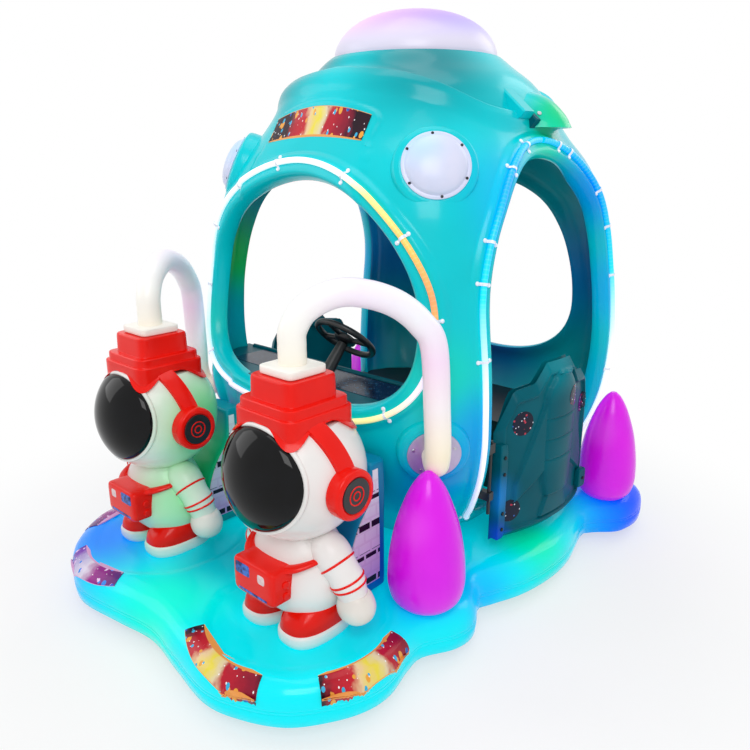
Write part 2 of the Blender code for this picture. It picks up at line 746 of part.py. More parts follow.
def figure_body(side, x):
    """Boots, legs, torso, arms and hands of one figure, moulded in one piece."""
    def ellipse(rx, ry, z, cx=0.0, cy=0.0, power=BELLY[3]):
        return ring_of(rx, ry, DECK_Z + z, FIGURE_SIDES, (x + cx, ASTRONAUT_Y + cy), power)

    torso = loft(f"astronaut_body_{side}", [
        ellipse(0.13, 0.10, 0.10), ellipse(*BELLY[:3]), ellipse(0.165, 0.13, 0.24),
        ellipse(0.14, 0.115, 0.31), ellipse(0.11, 0.10, NECK_Z - GAP),
    ], white_gelcoat())
    parts = []
    for tag, sign in (("r", 1), ("l", -1)):
        parts.append(loft(f"leg_{tag}_{side}", [
            ellipse(0.072, 0.125, GAP, sign * 0.085, -0.03, 2.6),
            ellipse(0.076, 0.13, 0.05, sign * 0.085, -0.03, 2.6),
            ellipse(0.070, 0.095, 0.085, sign * 0.085, -0.01),
            ellipse(0.066, 0.075, 0.17, sign * 0.080, 0.0),
        ], white_gelcoat()))
        shoulder = Vector((x + sign * 0.12, ASTRONAUT_Y, DECK_Z + 0.30))
        hand = Vector((x + sign * 0.235, ASTRONAUT_Y - 0.02, DECK_Z + 0.135))
        length = (hand - shoulder).length
        arm = turned(f"arm_{tag}_{side}", (
            (0.035, -0.03), (0.055, 0.02), (0.062, length * 0.8), (0.050, length * 0.86),
            (0.068, length * 0.95), (0.072, length * 1.12), (0.055, length * 1.3), (0.02, length * 1.38),
        ), white_gelcoat(), 10)
        parts.append(turn_to(arm, shoulder, hand - shoulder))
    return join(torso, *parts)


def helmet_body(name, x, grow=0.0):
    """The helmet's ball, flat where it meets the neck and the cap. Grown a little, it also
    cuts the seats of what lies on it."""
    rings = []
    for z in np.linspace(NECK_Z + GAP, CROWN_Z, 9):
        r = math.sqrt(HELMET_RADIUS**2 - (z - HELMET_Z) ** 2) + grow
        rings.append(ring_of(r, r, DECK_Z + z, 24, (x, ASTRONAUT_Y)))
    return loft(name, rings, white_gelcoat())


def helmet(side, x):
    helmet_body(f"helmet_{side}", x)


def visor(side, x):
    """A curved oval lens lying on the front of the helmet."""
    half_x, half_z, count, radius = 0.16, 0.165, 20, HELMET_RADIUS + 0.012
    rings = []
    for u in (0.02, 0.45, 0.8, 1.0, 1.0):
        ring = []
        for angle in 2 * np.pi * np.arange(count) / count:
            a, h = half_x * u * math.cos(angle), half_z * u * math.sin(angle)
            depth = 0.10 if len(rings) == 4 else math.sqrt(radius**2 - a * a - h * h)
            ring.append((x + a, ASTRONAUT_Y - depth, DECK_Z + HELMET_Z - 0.01 + h))
        rings.append(ring)
    lens = loft(f"visor_{side}", rings, black_gloss())
    cut(lens, helmet_body(f"visor_seat_{side}", x, 2 * GAP))


def cap(side, x):
    """Stepped square cap over the crown of the helmet."""
    base = DECK_Z + CROWN_Z + GAP
    tiers = ((CAP_HALF_WIDTH, 0.0, 0.045), (CAP_HALF_WIDTH - 0.010, 0.045, 0.075),
             (CAP_HALF_WIDTH - 0.0375, 0.075, CAP_HEIGHT))
    rings = []
    for half, low, high in tiers:
        rings.append(ring_of(half, half, base + low, 24, (x, ASTRONAUT_Y), 8.0))
        rings.append(ring_of(half - 0.003, half - 0.003, base + high, 24, (x, ASTRONAUT_Y), 8.0))
        if high != CAP_HEIGHT:
            rings[-1] = ring_of(half - 0.003, half - 0.003, base + high - 0.002, 24,
                                (x, ASTRONAUT_Y), 8.0)
    return loft(f"cap_{side}", rings, red_gelcoat())


def earphones(side, x):
    for tag, sign in (("outer", 1), ("inner", -1)):
        ear = turned(f"earphone_{tag}_{side}", (
            (EARPHONE_RADIUS, 0.0),
            (EARPHONE_RADIUS, EARPHONE_DEPTH + 0.004),
            (EARPHONE_RADIUS * 0.88, EARPHONE_DEPTH + 0.012),
        ), red_gelcoat(), 18)
        outward = sign if side == "right" else -sign
        place = (x + outward * (HELMET_RADIUS - 0.012), ASTRONAUT_Y, DECK_Z + HELMET_Z - 0.01)
        turn_to(ear, place, (outward, 0, 0))
        cut(ear, helmet_body(f"earphone_seat_{tag}_{side}", x, 2 * GAP))


BELLY = (0.17, 0.135, 0.16, 2.3)  # half width, half depth, height above the deck, squareness


def chest_pack(side, x):
    half_x, half_y, z, power = BELLY
    front = min(p[1] for p in ring_of(half_x, half_y, z, FIGURE_SIDES, (x, ASTRONAUT_Y), power)) - GAP
    box(f"chest_pack_{side}", (x - 0.10, front - 0.07, DECK_Z + 0.13),
        (x + 0.10, front, DECK_Z + 0.255), red_gelcoat(), bevel=0.012)


def backpack(side, x):
    """A cabinet behind the figure, whose front leans back round the helmet."""
    rear = ASTRONAUT_Y + 0.345
    rings = []
    for clear, half, z in ((-0.09, 0.10, GAP), (-0.09, 0.10, 0.26), (-0.045, 0.10, 0.37),
                           (0.01, 0.098, 0.47), (0.03, 0.085, 0.50)):
        front, z = ASTRONAUT_Y + HELMET_RADIUS + clear, DECK_Z + z
        rings.append([(x - half, front, z), (x + half, front, z), (x + half, rear, z), (x - half, rear, z)])
    loft(f"backpack_{side}", rings, deep_teal_gelcoat())


def hose_route(sign):
    """Middle line of one arched hose, from its plate to square on its flange."""
    start = Vector((ASTRONAUT_X, ASTRONAUT_Y, plate_top() + 2 * GAP))
    place, out = corner_place(FLANGE_Z)
    seat = place + out * (FLANGE_PAD + 3 * GAP + FLANGE_THICKNESS)
    away = seat + out * 0.10
    span = Vector((away.x - start.x, away.y - start.y, 0))
    route = [
        start, start + Vector((0, 0, 0.03)), start + Vector((0, 0, 0.06)),
        start + span * 0.01 + Vector((0, 0, 0.11)),
        start + span * 0.10 + Vector((0, 0, 0.175)), start + span * 0.30 + Vector((0, 0, HOSE_RISE)),
        start + span * 0.50 + Vector((0, 0, HOSE_RISE * 0.97)),
    ]
    for share, height in ((0.71, 0.80), (0.88, 0.50), (0.985, 0.12)):
        route.append(Vector((start.x, start.y, start.z + HOSE_RISE * height)) + span * share)
    route.append(Vector((away.x, away.y, away.z + 0.21)))
    route.append(Vector((away.x, away.y, away.z + 0.085)))
    route.append(away - out * 0.022 + Vector((0, 0, 0.014)))
    route += [seat + out * 0.04, seat + out * 0.02, seat]
    line = smooth_path([tuple(p) for p in route], 2)
    return [(sign * px, py, pz) for px, py, pz in line]


def plate_top():
    return DECK_Z + CROWN_Z + CAP_HEIGHT + PLATE_HEIGHT + 2 * GAP


FLANGE_THICKNESS = 0.008


def hose_plate(side, x):
    top = plate_top()
    box(f"hose_plate_{side}", (x - PLATE_HALF_WIDTH, ASTRONAUT_Y - PLATE_HALF_WIDTH, top - PLATE_HEIGHT),
        (x + PLATE_HALF_WIDTH, ASTRONAUT_Y + PLATE_HALF_WIDTH, top), opal_diffuser(), bevel=0.006)


def hose_flange(side, sign):
    place, out = corner_place(FLANGE_Z)
    place.x, out.x = sign * place.x, sign * out.x
    flange = turned(f"hose_flange_{side}", (
        (FLANGE_RADIUS, 0.0), (FLANGE_RADIUS, FLANGE_THICKNESS - 0.002),
        (FLANGE_RADIUS - 0.003, FLANGE_THICKNESS)), zinc_steel(), 20)
    turn_to(flange, place + out * (FLANGE_PAD + GAP), out)


def astronauts():
    for side, sign in (("right", 1), ("left", -1)):
        x = sign * ASTRONAUT_X
        for make in (figure_body, helmet, visor, cap, earphones, chest_pack, backpack, hose_plate):
            make(side, x)
        hose_flange(side, sign)
        tube_along(f"light_hose_{side}", hose_route(sign), HOSE_RADIUS, opal_diffuser(), 2)


# ---------------------------------------------------------------- cabin
def cabin_block(name, rows, inset_by, finish, y_low, y_high):
    """A solid that fills the cabin between two distances and follows its walls, made from the
    same rings as the walls, so that it stays as far from them everywhere."""
    block = loft(name, [capsule_ring(z, CAPSULE_WALL + inset_by, CAPSULE_SIDES, level)
                        for z, level in rows], finish)
    reach = 2.0
    if y_low is not None:
        cut(block, box(f"{name}_front_cutter", (-reach, y_low - reach, -0.5), (reach, y_low, 3), finish))
    if y_high is not None:
        cut(block, box(f"{name}_rear_cutter", (-reach, y_high, -0.5), (reach, y_high + reach, 3), finish))
    return block


def dashboard():
    """A shelf under the windscreen that follows the capsule's front wall."""
    cabin_block("dashboard", [(DASH_Z - DASH_THICKNESS, None), (DASH_Z, None)], 2 * GAP,
                deep_teal_gelcoat(), None, DASH_REAR_Y)


def wheel_axis():
    return Vector((0.0, math.sin(WHEEL_TILT), math.cos(WHEEL_TILT)))


def steering():
    """A fixed column on the dashboard, and the wheel that turns on it."""
    axis = wheel_axis()
    centre = Vector((0, WHEEL_Y, DECK_Z + WHEEL_Z))
    length = (WHEEL_Z - DASH_Z - 0.002) / axis.z
    column = turned("steering_column", ((0.035, -length - 0.05), (0.028, -length + 0.04), (0.022, -0.032),
                                        (0.022, -0.024)), zinc_steel(), 20)
    turn_to(column, centre, axis)
    room = box("column_foot_cutter", (-0.2, -0.5, DECK_Z + DASH_Z - 0.2), (0.2, 0.2, DECK_Z + DASH_Z + GAP),
               zinc_steel())
    cut(column, room)
    hinge = pivot_empty("steering_axis", centre)
    turn_to(hinge, centre, axis)
    rim = bpy.data.meshes.new("steering_wheel")
    build = bmesh.new()
    sides, around = 6, 24
    rows = []
    for u in 2 * np.pi * np.arange(around) / around:
        rows.append([
            build.verts.new(((WHEEL_RADIUS + WHEEL_GRIP_RADIUS * math.cos(v)) * math.cos(u),
                             (WHEEL_RADIUS + WHEEL_GRIP_RADIUS * math.cos(v)) * math.sin(u),
                             WHEEL_GRIP_RADIUS * math.sin(v)))
            for v in 2 * np.pi * np.arange(sides) / sides
        ])
    for i in range(around):
        for j in range(sides):
            k, m = (i + 1) % around, (j + 1) % sides
            build.faces.new((rows[i][j], rows[k][j], rows[k][m], rows[i][m]))
    build.to_mesh(rim)
    build.free()
    wheel = add_object("steering_wheel", rim, black_plastic(), hinge)
    hub = turned("wheel_hub", ((0.042, -0.0235), (0.046, 0.004), (0.034, 0.016)), black_plastic(), 20,
                 hinge)
    join(wheel, hub)
    for i, angle in enumerate((math.radians(5), math.radians(175), math.radians(270))):
        spoke = box(f"spoke_{i}", (0.02, -0.017, -0.006), (WHEEL_RADIUS + 0.002, 0.017, 0.005),
                    black_plastic(), hinge)
        spoke.rotation_euler = (0, 0, angle)
        join(wheel, spoke)


def start_button():
    """A push button whose stem slides in a bore of the dashboard, over a shallow recess."""
    place = (BUTTON_X, DASH_REAR_Y - 0.09, DECK_Z + DASH_Z)
    button = turned("start_button", (
        (BUTTON_STEM_RADIUS, -BUTTON_STEM), (BUTTON_STEM_RADIUS, 0.0), (BUTTON_RADIUS, 0.0008),
        (BUTTON_RADIUS, 0.006), (BUTTON_RADIUS - 0.003, 0.011), (0.008, 0.014),
    ), red_gelcoat(), 20)
    button.location = place
    depth = BUTTON_STEM + BUTTON_TRAVEL + 0.002
    recess = turned("button_recess", (
        (BUTTON_STEM_RADIUS + RUN_GAP, -depth), (BUTTON_STEM_RADIUS + RUN_GAP, -BUTTON_TRAVEL - 0.002),
        (BUTTON_RADIUS + 0.0015, -BUTTON_TRAVEL - 0.0019), (BUTTON_RADIUS + 0.0015, 0.01),
    ), deep_teal_gelcoat(), 20)
    recess.location = place
    cut(bpy.data.objects["dashboard"], recess)


def bench_seat():
    """A hollow black bench across the rear of the cabin, open underneath over the drive."""
    heights = [row[0] for row in PROFILE if 0 < row[0] < SEAT_HEIGHT]
    rows = [(0.0, 2 * GAP)] + [(z, None) for z in heights] + [(SEAT_HEIGHT, None)]
    seat = cabin_block("bench_seat", rows, 2 * GAP, black_plastic(), SEAT_FRONT_Y, None)
    rows = [(0.0, -0.02)] + [(z, None) for z in heights] + [(SEAT_HEIGHT - SEAT_WALL, None)]
    hollow = cabin_block("seat_hollow", rows, 2 * GAP + SEAT_WALL, black_plastic(),
                         SEAT_FRONT_Y + SEAT_WALL, None)
    return cut(seat, hollow)


# ---------------------------------------------------------------- side doors
def door_top(share):
    """Height of a door's top edge, from 0 at the front edge to 1 at the rear edge."""
    from_middle = abs(share - 0.5) * 2
    stations = ((0.0, DOOR_TOP), (0.27, DOOR_TOP), (0.42, DOOR_SHOULDER + 0.012),
                (0.76, DOOR_SHOULDER), (1.0, DOOR_EDGE_TOP))
    return np.interp(from_middle, [s for s, _ in stations], [h for _, h in stations])


def door_face(share):
    return DOOR_FACE_X + DOOR_BULGE * (1 - (2 * share - 1) ** 2)


def jamb_y(z_low, z_high):
    """Front edge of the doorway's opening, at its furthest back between two heights."""
    edge = sorted((z, a) for a, z in doorway_outline() if a < 0)
    heights = [z for z, _ in edge]
    return CAPSULE_Y + max(
        np.interp(z, heights, [a for _, a in edge])
        for z in [z_low, z_high] + [h for h in heights if z_low < h < z_high]
    )


HINGE_ARMS = ((0.25, 0.285), (0.45, 0.49))
DOOR_LUGS = ((0.20, 0.24), (0.395, 0.44))


def door_panel(side, sign, parent):
    """A bulged panel with a raised middle, shoulders and legs, and knuckles round the pin."""
    shares = (0.0, 0.12, 0.29, 0.365, 0.5, 0.635, 0.71, 0.88, 1.0)
    count = len(shares)
    points = []
    for share in shares:
        y = DOOR_FRONT_Y + share * (DOOR_REAR_Y - DOOR_FRONT_Y)
        outer, top = door_face(share), DECK_Z + door_top(share)
        for x in (outer - DOOR_THICKNESS, outer):
            for z in (DECK_Z + DOOR_BOTTOM, top):
                points.append((sign * x, y, z))
    faces = []
    for i in range(count - 1):
        a, b = 4 * i, 4 * (i + 1)
        faces += [(a, b, b + 1, a + 1), (a + 2, a + 3, b + 3, b + 2), (a, a + 2, b + 2, b),
                  (a + 1, b + 1, b + 3, a + 3)]
    faces += [(0, 1, 3, 2), (4 * count - 4, 4 * count - 2, 4 * count - 1, 4 * count - 3)]
    if sign > 0:
        faces = [face[::-1] for face in faces]
    name = f"side_door_{side}"
    panel = add_object(name, mesh_from(name, points, faces), deep_teal_gelcoat())
    for i, (low, high) in enumerate(DOOR_LUGS):
        knuckle = turned(f"knuckle_{i}_{side}", ((0.016, DECK_Z + low), (0.016, DECK_Z + high)),
                         deep_teal_gelcoat(), 16)
        knuckle.location = (sign * HINGE_X, HINGE_Y, 0)
        xs = sorted((sign * (HINGE_X - 0.02), sign * (HINGE_X + 0.004)))
        leaf = box(f"leaf_{i}_{side}", (xs[0], HINGE_Y, DECK_Z + low + 0.002),
                   (xs[1], DOOR_FRONT_Y + 0.05, DECK_Z + high - 0.002), deep_teal_gelcoat())
        join(panel, knuckle, leaf)
    bore = turned(f"door_bore_{side}", ((HINGE_PIN_RADIUS + RUN_GAP, DECK_Z), (HINGE_PIN_RADIUS + RUN_GAP, DECK_Z + 0.9)),
                  deep_teal_gelcoat(), 16)
    bore.location = (sign * HINGE_X, HINGE_Y, 0)
    cut(panel, bore)
    for thing in [panel] + [m.object for m in panel.modifiers]:
        thing.parent = parent
        thing.matrix_parent_inverse = Matrix.Translation((-sign * HINGE_X, -HINGE_Y, 0))


def door_hinge(side, sign):
    """Pin and two arms: the upper one ends at the edge of the doorway, and the lower one at the
    outside of the shell, which is further in there."""
    low, high = DOOR_LUGS[0][0] - 0.01, HINGE_ARMS[1][1] + 0.01
    pin = turned(f"door_hinge_{side}", ((HINGE_PIN_RADIUS, DECK_Z + low), (HINGE_PIN_RADIUS, DECK_Z + high)),
                 black_plastic(), 16)
    pin.location = (sign * HINGE_X, HINGE_Y, 0)
    (z0, z1), (z2, z3) = HINGE_ARMS
    behind = HINGE_Y - 0.014 - CAPSULE_Y
    wall = max(capsule_depth(behind, z1), capsule_depth(HINGE_Y + 0.014 - CAPSULE_Y, z1))
    xs = sorted((sign * (wall + GAP), sign * (HINGE_X + 0.012)))
    lower = box(f"hinge_arm_low_{side}", (xs[0], HINGE_Y - 0.014, DECK_Z + z0),
                (xs[1], HINGE_Y + 0.014, DECK_Z + z1), black_plastic())
    upper = box(f"hinge_arm_high_{side}",
                (sign * HINGE_X - 0.012, jamb_y(z2, z3) + GAP, DECK_Z + z2),
                (sign * HINGE_X + 0.012, HINGE_Y + 0.012, DECK_Z + z3), black_plastic())
    join(pin, lower, upper)


def side_doors():
    for side, sign in (("right", 1), ("left", -1)):
        hinge = pivot_empty(f"door_axis_{side}", (sign * HINGE_X, HINGE_Y, 0))
        door_panel(side, sign, hinge)
        hinge.rotation_euler = (0, 0, -sign * DOOR_AJAR)
        door_hinge(side, sign)


def main():
    clear_scene()
    chassis_frame()
    levelling_feet()
    pivot()
    gearmotor()
    crank()
    ride_frame()
    base_shell()
    capsule_shells()
    roof()
    corner_lamps()
    led_tubes()
    flame_lights()
    astronauts()
    dashboard()
    steering()
    start_button()
    bench_seat()
    side_doors()


main()
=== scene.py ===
"""Looks of a rocking space capsule ride for children: glass-fibre shells in glossy gelcoat, opal
light tubes, two astronaut figures and a lit cloud base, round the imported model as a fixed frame.
Lengths are in metres; heights called h are above the deck, and z is above the floor."""

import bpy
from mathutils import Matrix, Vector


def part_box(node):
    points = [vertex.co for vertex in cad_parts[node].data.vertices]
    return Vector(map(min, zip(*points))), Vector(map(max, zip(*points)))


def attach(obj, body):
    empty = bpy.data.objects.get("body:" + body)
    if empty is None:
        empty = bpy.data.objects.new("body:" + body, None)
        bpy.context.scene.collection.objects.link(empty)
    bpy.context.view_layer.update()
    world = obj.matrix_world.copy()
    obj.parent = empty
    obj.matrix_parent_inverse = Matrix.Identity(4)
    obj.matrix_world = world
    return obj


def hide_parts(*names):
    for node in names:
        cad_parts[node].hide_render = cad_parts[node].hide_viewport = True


bl_info = {
    "name": "Rocking capsule ride",
    "version": (1, 0, 0),
    "blender": (4, 5, 0),
    "location": "View3D > Sidebar > Capsule ride",
    "description": "Builds the finishes and fine shapes of a rocking capsule ride",
    "category": "Object",
}

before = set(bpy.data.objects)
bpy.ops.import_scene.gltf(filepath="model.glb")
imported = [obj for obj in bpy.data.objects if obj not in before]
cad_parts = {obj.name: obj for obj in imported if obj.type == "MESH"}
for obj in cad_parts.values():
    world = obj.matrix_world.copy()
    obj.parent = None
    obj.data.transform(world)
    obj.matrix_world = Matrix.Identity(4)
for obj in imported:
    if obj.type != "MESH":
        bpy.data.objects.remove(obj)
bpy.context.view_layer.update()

import math

import bmesh
import bpy
import numpy as np
from bpy.props import FloatProperty, FloatVectorProperty, PointerProperty
from mathutils import Vector

TAU = 2 * math.pi
DECK_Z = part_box("base_shell")[1].z
CAPSULE_Y = 0.32
CAPSULE_HALF_WIDTH = 0.768
CROWN_FOOT = 1.57  # height where the crown moulding starts
SHELL_TOP = 1.925

# capsule profile: height above the deck, half width as a share, and squareness of the plan
PROFILE = np.array((
    (0.0, 0.60, 4.0), (0.05, 0.64, 4.0), (0.20, 0.80, 4.0), (0.35, 0.911, 4.0),
    (0.50, 0.973, 4.0), (0.65, 0.997, 4.0), (0.78, 1.0, 4.0), (0.95, 0.984, 4.0),
    (1.10, 0.961, 4.0), (1.25, 0.937, 4.0), (1.40, 0.905, 3.8), (1.52, 0.845, 3.4),
    (1.62, 0.765, 3.0), (1.70, 0.715, 2.7), (1.76, 0.69, 2.5), (1.80, 0.662, 2.4),
    (1.84, 0.612, 2.25), (1.88, 0.540, 2.1), (1.925, 0.468, 2.0),
))

# the right half of the cloud outline, front notch to rear notch, as shares of the half sizes
CLOUD = np.array((
    (0.0, -0.952), (0.207, -0.976), (0.435, -1.0), (0.591, -0.971), (0.736, -0.907),
    (0.833, -0.810), (0.886, -0.718), (0.893, -0.630), (0.858, -0.526), (0.851, -0.455),
    (0.916, -0.355), (0.917, -0.265), (0.835, -0.151), (0.852, -0.100), (0.912, 0.025),
    (0.939, 0.175), (0.927, 0.324), (0.862, 0.523), (0.890, 0.587), (0.985, 0.672),
    (1.0, 0.797), (0.935, 0.910), (0.740, 0.982), (0.478, 1.0), (0.217, 0.978),
    (0.0, 0.946),
))
BASE_HALF_SIZES = (0.92, 1.19)
SKIRT_FOOT_Z = 0.06
HATCH = (-0.04, 0.09, 0.525, 0.72)  # x and y limits of the rod's opening in the deck

FIGURE_X, FIGURE_Y = 0.42, -0.78
HELMET_RADIUS = 0.235
HELMET_H = 0.55
NECK_H = 0.35
CROWN_H = 0.73
CAP_HALF = 0.143
CAP_HEIGHT = 0.15
PLATE_TOP = 0.911  # height of the hose plate's top above the deck
FLANGE_H, LAMP_H = 0.52, 1.51
FLAME_PLACES = {"front": (0.722, -0.449), "rear": (0.785, 0.835)}
DASH_REAR_Y = -0.08
WHEEL_CENTRE = (0.0, -0.12, DECK_Z + 0.80)
WHEEL_TILT = math.radians(42)
FILM_EDGE, NO_EDGE = 0.0318, 0.9  # metres off a film's middle where its printed edge starts
TUBE_LIFT = 0.007  # from the collar's face to the middle of a light tube
DOOR_FRONT_Y, DOOR_REAR_Y, DOOR_FOOT = 0.01, 0.65, 0.05
DOOR_FACE_X, DOOR_BULGE, DOOR_THICKNESS = 0.70, 0.07, 0.045
DOOR_BACK_X = 0.672  # keeps a shut door clear of the bench
HINGE_X, HINGE_Y, DOOR_AJAR = 0.695, -0.035, math.radians(4)


# ---------------- colours and nodes
def linear(hex_colour, alpha=1.0):
    """Linear RGBA of an sRGB hex colour."""
    channels = [int(hex_colour[i:i + 2], 16) / 255 for i in (1, 3, 5)]
    light = [c / 12.92 if c <= 0.04045 else ((c + 0.055) / 1.055) ** 2.4 for c in channels]
    return (*light, alpha)


class RideSizes(bpy.types.PropertyGroup):
    """Sizes of the fine shapes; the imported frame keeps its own."""

    wall: FloatProperty(name="Shell wall", description="Thickness of the capsule's laminate",
                        default=0.030, unit="LENGTH")
    collar_width: FloatProperty(name="Collar width", description="Raised band round an opening",
                                default=0.078, unit="LENGTH")
    collar_rise: FloatProperty(name="Collar rise", description="How far a collar stands out",
                               default=0.014, unit="LENGTH")
    tube_radius: FloatProperty(name="Light tube radius", description="Radius of the opal tubes",
                               default=0.011, unit="LENGTH")
    tube_margin: FloatProperty(name="Light tube margin", description="From an opening's edge to "
                               "the middle of its tube", default=0.038, unit="LENGTH")
    hose_radius: FloatProperty(name="Hose radius", description="Radius of the arched hoses",
                               default=0.046, unit="LENGTH")
    dish_radius: FloatProperty(name="Dish radius", description="Sunk round under each figure",
                               default=0.325, unit="LENGTH")
    sticker_width: FloatProperty(name="Sticker width", description="Width of a base sticker",
                                 default=0.066, unit="LENGTH")


class RideColours(bpy.types.PropertyGroup):
    """Main colours of the finishes."""

    turquoise: FloatVectorProperty(name="Capsule", description="Gelcoat of the capsule",
                                   subtype="COLOR", size=4, default=linear("#00CDD6"))
    cloud: FloatVectorProperty(name="Cloud base", description="Lit laminate of the base",
                               subtype="COLOR", size=4, default=linear("#00E4EE"))
    door: FloatVectorProperty(name="Doors", description="Gelcoat of doors and cabinets",
                              subtype="COLOR", size=4, default=linear("#005866"))
    white: FloatVectorProperty(name="Suits", description="White gelcoat of the figures",
                               subtype="COLOR", size=4, default=linear("#F5F2F0"))
    red: FloatVectorProperty(name="Trim", description="Red gelcoat of caps, cups and boots",
                             subtype="COLOR", size=4, default=linear("#EC1408"))
    flame: FloatVectorProperty(name="Flames", description="Magenta of the flame lights",
                               subtype="COLOR", size=4, default=linear("#E212E8"))


def sizes():
    """The sizes a user may change, from the scene."""
    return bpy.context.scene.ride_sizes


def colours():
    """The colours a user may change, from the scene."""
    return bpy.context.scene.ride_colours


# values of the shader's own sockets that several finishes share
POLISHED = {"IOR": 1.5, "Specular_IOR_Level": 0.16, "Coat_Weight": 0.10}
SATIN = {"IOR": 1.5, "Specular_IOR_Level": 0.16, "Coat_Weight": 0.06}
OPAL = {"IOR": 1.49, "Specular_IOR_Level": 0.35, "Coat_Weight": 0.06}


def add_node(tree, kind, sockets=None, stops=(), **settings):
    """Adds a node, sets its properties, fills its sockets with values or links, and gives a
    colour ramp its (place, hex colour) stops."""
    node = tree.nodes.new(kind)
    for key, value in settings.items():
        setattr(node, key, value)
    for key, value in (sockets or {}).items():
        if isinstance(value, bpy.types.NodeSocket):
            tree.links.new(value, node.inputs[key])
        else:
            node.inputs[key].default_value = value
    for i, (at, colour) in enumerate(stops):
        if i > 1:
            node.color_ramp.elements.new(at)
        node.color_ramp.elements[i].position = at
        node.color_ramp.elements[i].color = linear(colour)
    return node


def new_finish(**shader_values):
    """A material with its tree, its surface shader and the object's own coordinates. The values
    go on the shader's own sockets; an underscore in a name stands for a space."""
    material = bpy.data.materials.new("finish")
    material.use_nodes = True
    tree = material.node_tree
    tree.nodes.clear()
    shader = add_node(tree, "ShaderNodeBsdfPrincipled",
                      {key.replace("_", " "): value for key, value in shader_values.items()})
    add_node(tree, "ShaderNodeOutputMaterial", {"Surface": shader.outputs["BSDF"]})
    place = add_node(tree, "ShaderNodeTexCoord").outputs["Object"]
    return material, tree, shader, place


def washed(tree, place, colour, washes):
    """The colour with pools of light on it: each is a centre, a reach, a hex colour and a
    strength, at its strongest in the centre and gone at the reach."""
    for centre, reach, tint, strength in washes:
        away = add_node(tree, "ShaderNodeVectorMath", {0: place, 1: centre}, operation="DISTANCE")
        share = add_node(tree, "ShaderNodeMapRange", {
            "Value": away.outputs["Value"], "From Min": 0.0, "From Max": reach,
            "To Min": strength, "To Max": 0.0}, interpolation_type="SMOOTHERSTEP")
        colour = add_node(tree, "ShaderNodeMix", {
            0: share.outputs["Result"], 6: colour, 7: linear(tint)}, data_type="RGBA").outputs[2]
    return colour


def both_sides(*washes):
    """The washes and their mirror images on the other side of the ride."""
    return [((sign * x, y, z), *rest) for (x, y, z), *rest in washes for sign in (1, -1)]


def waved(tree, shader, place, pitch_mm, depth_mm):
    """A slow waviness of a given pitch and depth on the surface."""
    waves = add_node(tree, "ShaderNodeTexNoise", {
        "Vector": place, "Scale": 1000.0 / pitch_mm, "Detail": 2.0})
    bump = add_node(tree, "ShaderNodeBump", {
        "Height": waves.outputs["Fac"], "Distance": depth_mm / 1000.0})
    tree.links.new(bump.outputs["Normal"], shader.inputs["Normal"])


def seen_directly(tree):
    """1 for what the camera sees straight, in a gloss or through glass, and 0 for the rest."""
    rays = add_node(tree, "ShaderNodeLightPath").outputs
    seen = rays["Is Camera Ray"]
    for kind in ("Is Glossy Ray", "Is Transmission Ray"):
        seen = add_node(tree, "ShaderNodeMath", {0: seen, 1: rays[kind]},
                        operation="MAXIMUM").outputs[0]
    return seen


def moulded(first, second, blotch_mm, washes=(), wave=(150.0, 1.0), glow=0.0,
            **shader_values):
    """A moulded surface: two close tones in slow blotches, pools of light, and a waviness whose
    pitch and depth are in mm. With glow the colour also shines. A tone is a colour or its hex."""
    first, second = (linear(tone) if isinstance(tone, str) else tuple(tone)
                     for tone in (first, second))
    if glow:
        shader_values["Emission_Strength"] = glow
    material, tree, shader, place = new_finish(**shader_values)
    blotches = add_node(tree, "ShaderNodeTexNoise", {
        "Vector": place, "Scale": 1000.0 / blotch_mm, "Detail": 2.0})
    share = add_node(tree, "ShaderNodeMapRange", {
        "Value": blotches.outputs["Fac"], "From Min": 0.35, "From Max": 0.65})
    colour = add_node(tree, "ShaderNodeMix", {
        0: share.outputs["Result"], 6: first, 7: second}, data_type="RGBA").outputs[2]
    colour = washed(tree, place, colour, washes)
    tree.links.new(colour, shader.inputs["Base Color"])
    if glow:
        tree.links.new(colour, shader.inputs["Emission Color"])
    waved(tree, shader, place, *wave)
    return material


_finishes = {}


def finish(make):
    """Each finish is made once, named for its function, and then shared."""
    if make.__name__ not in _finishes:
        _finishes[make.__name__] = make()
        _finishes[make.__name__].name = make.__name__
    return _finishes[make.__name__]


# ---------------- finishes
def turquoise_gelcoat():
    # Glass fibre moulded against a polished mould: glossy gelcoat with a slow waviness, and
    # pools of green and blue where the light strips wash over it. The dark teal pool over the
    # neck on each side is painted shade.
    washes = both_sides(
        ((0.64, 0.42, 1.90), 0.20, "#10D884", 0.9), ((0.70, 0.32, 1.80), 0.20, "#00E8B0", 0.8),
        ((0.76, 0.00, 1.62), 0.36, "#00C8FF", 0.8), ((0.76, 0.62, 1.62), 0.34, "#0098FF", 0.9),
        ((0.79, 0.76, 1.20), 0.30, "#00B0FF", 0.8), ((0.74, -0.30, 0.55), 0.36, "#00A0F0", 0.9),
        ((0.68, -0.34, 1.02), 0.26, "#10E0C0", 0.7), ((0.70, 0.95, 0.70), 0.45, "#00A8F4", 0.9),
        ((0.66, -0.30, 0.30), 0.28, "#0084F0", 0.9), ((0.74, -0.16, 0.80), 0.26, "#00A4F4", 0.8),
        # dark teal over the neck: painted shade
        ((0.30, 0.02, 2.08), 0.42, "#00848E", 0.95))
    washes += [((0.0, -0.42, 0.55), 0.40, "#00A0E8", 0.8), ((0.0, 1.0, 0.7), 0.5, "#0098E0", 0.6)]
    return moulded(colours().turquoise, "#00D8E2", 420.0, washes, wave=(170.0, 0.8), Roughness=0.22,
                   **POLISHED, Coat_Roughness=0.05)


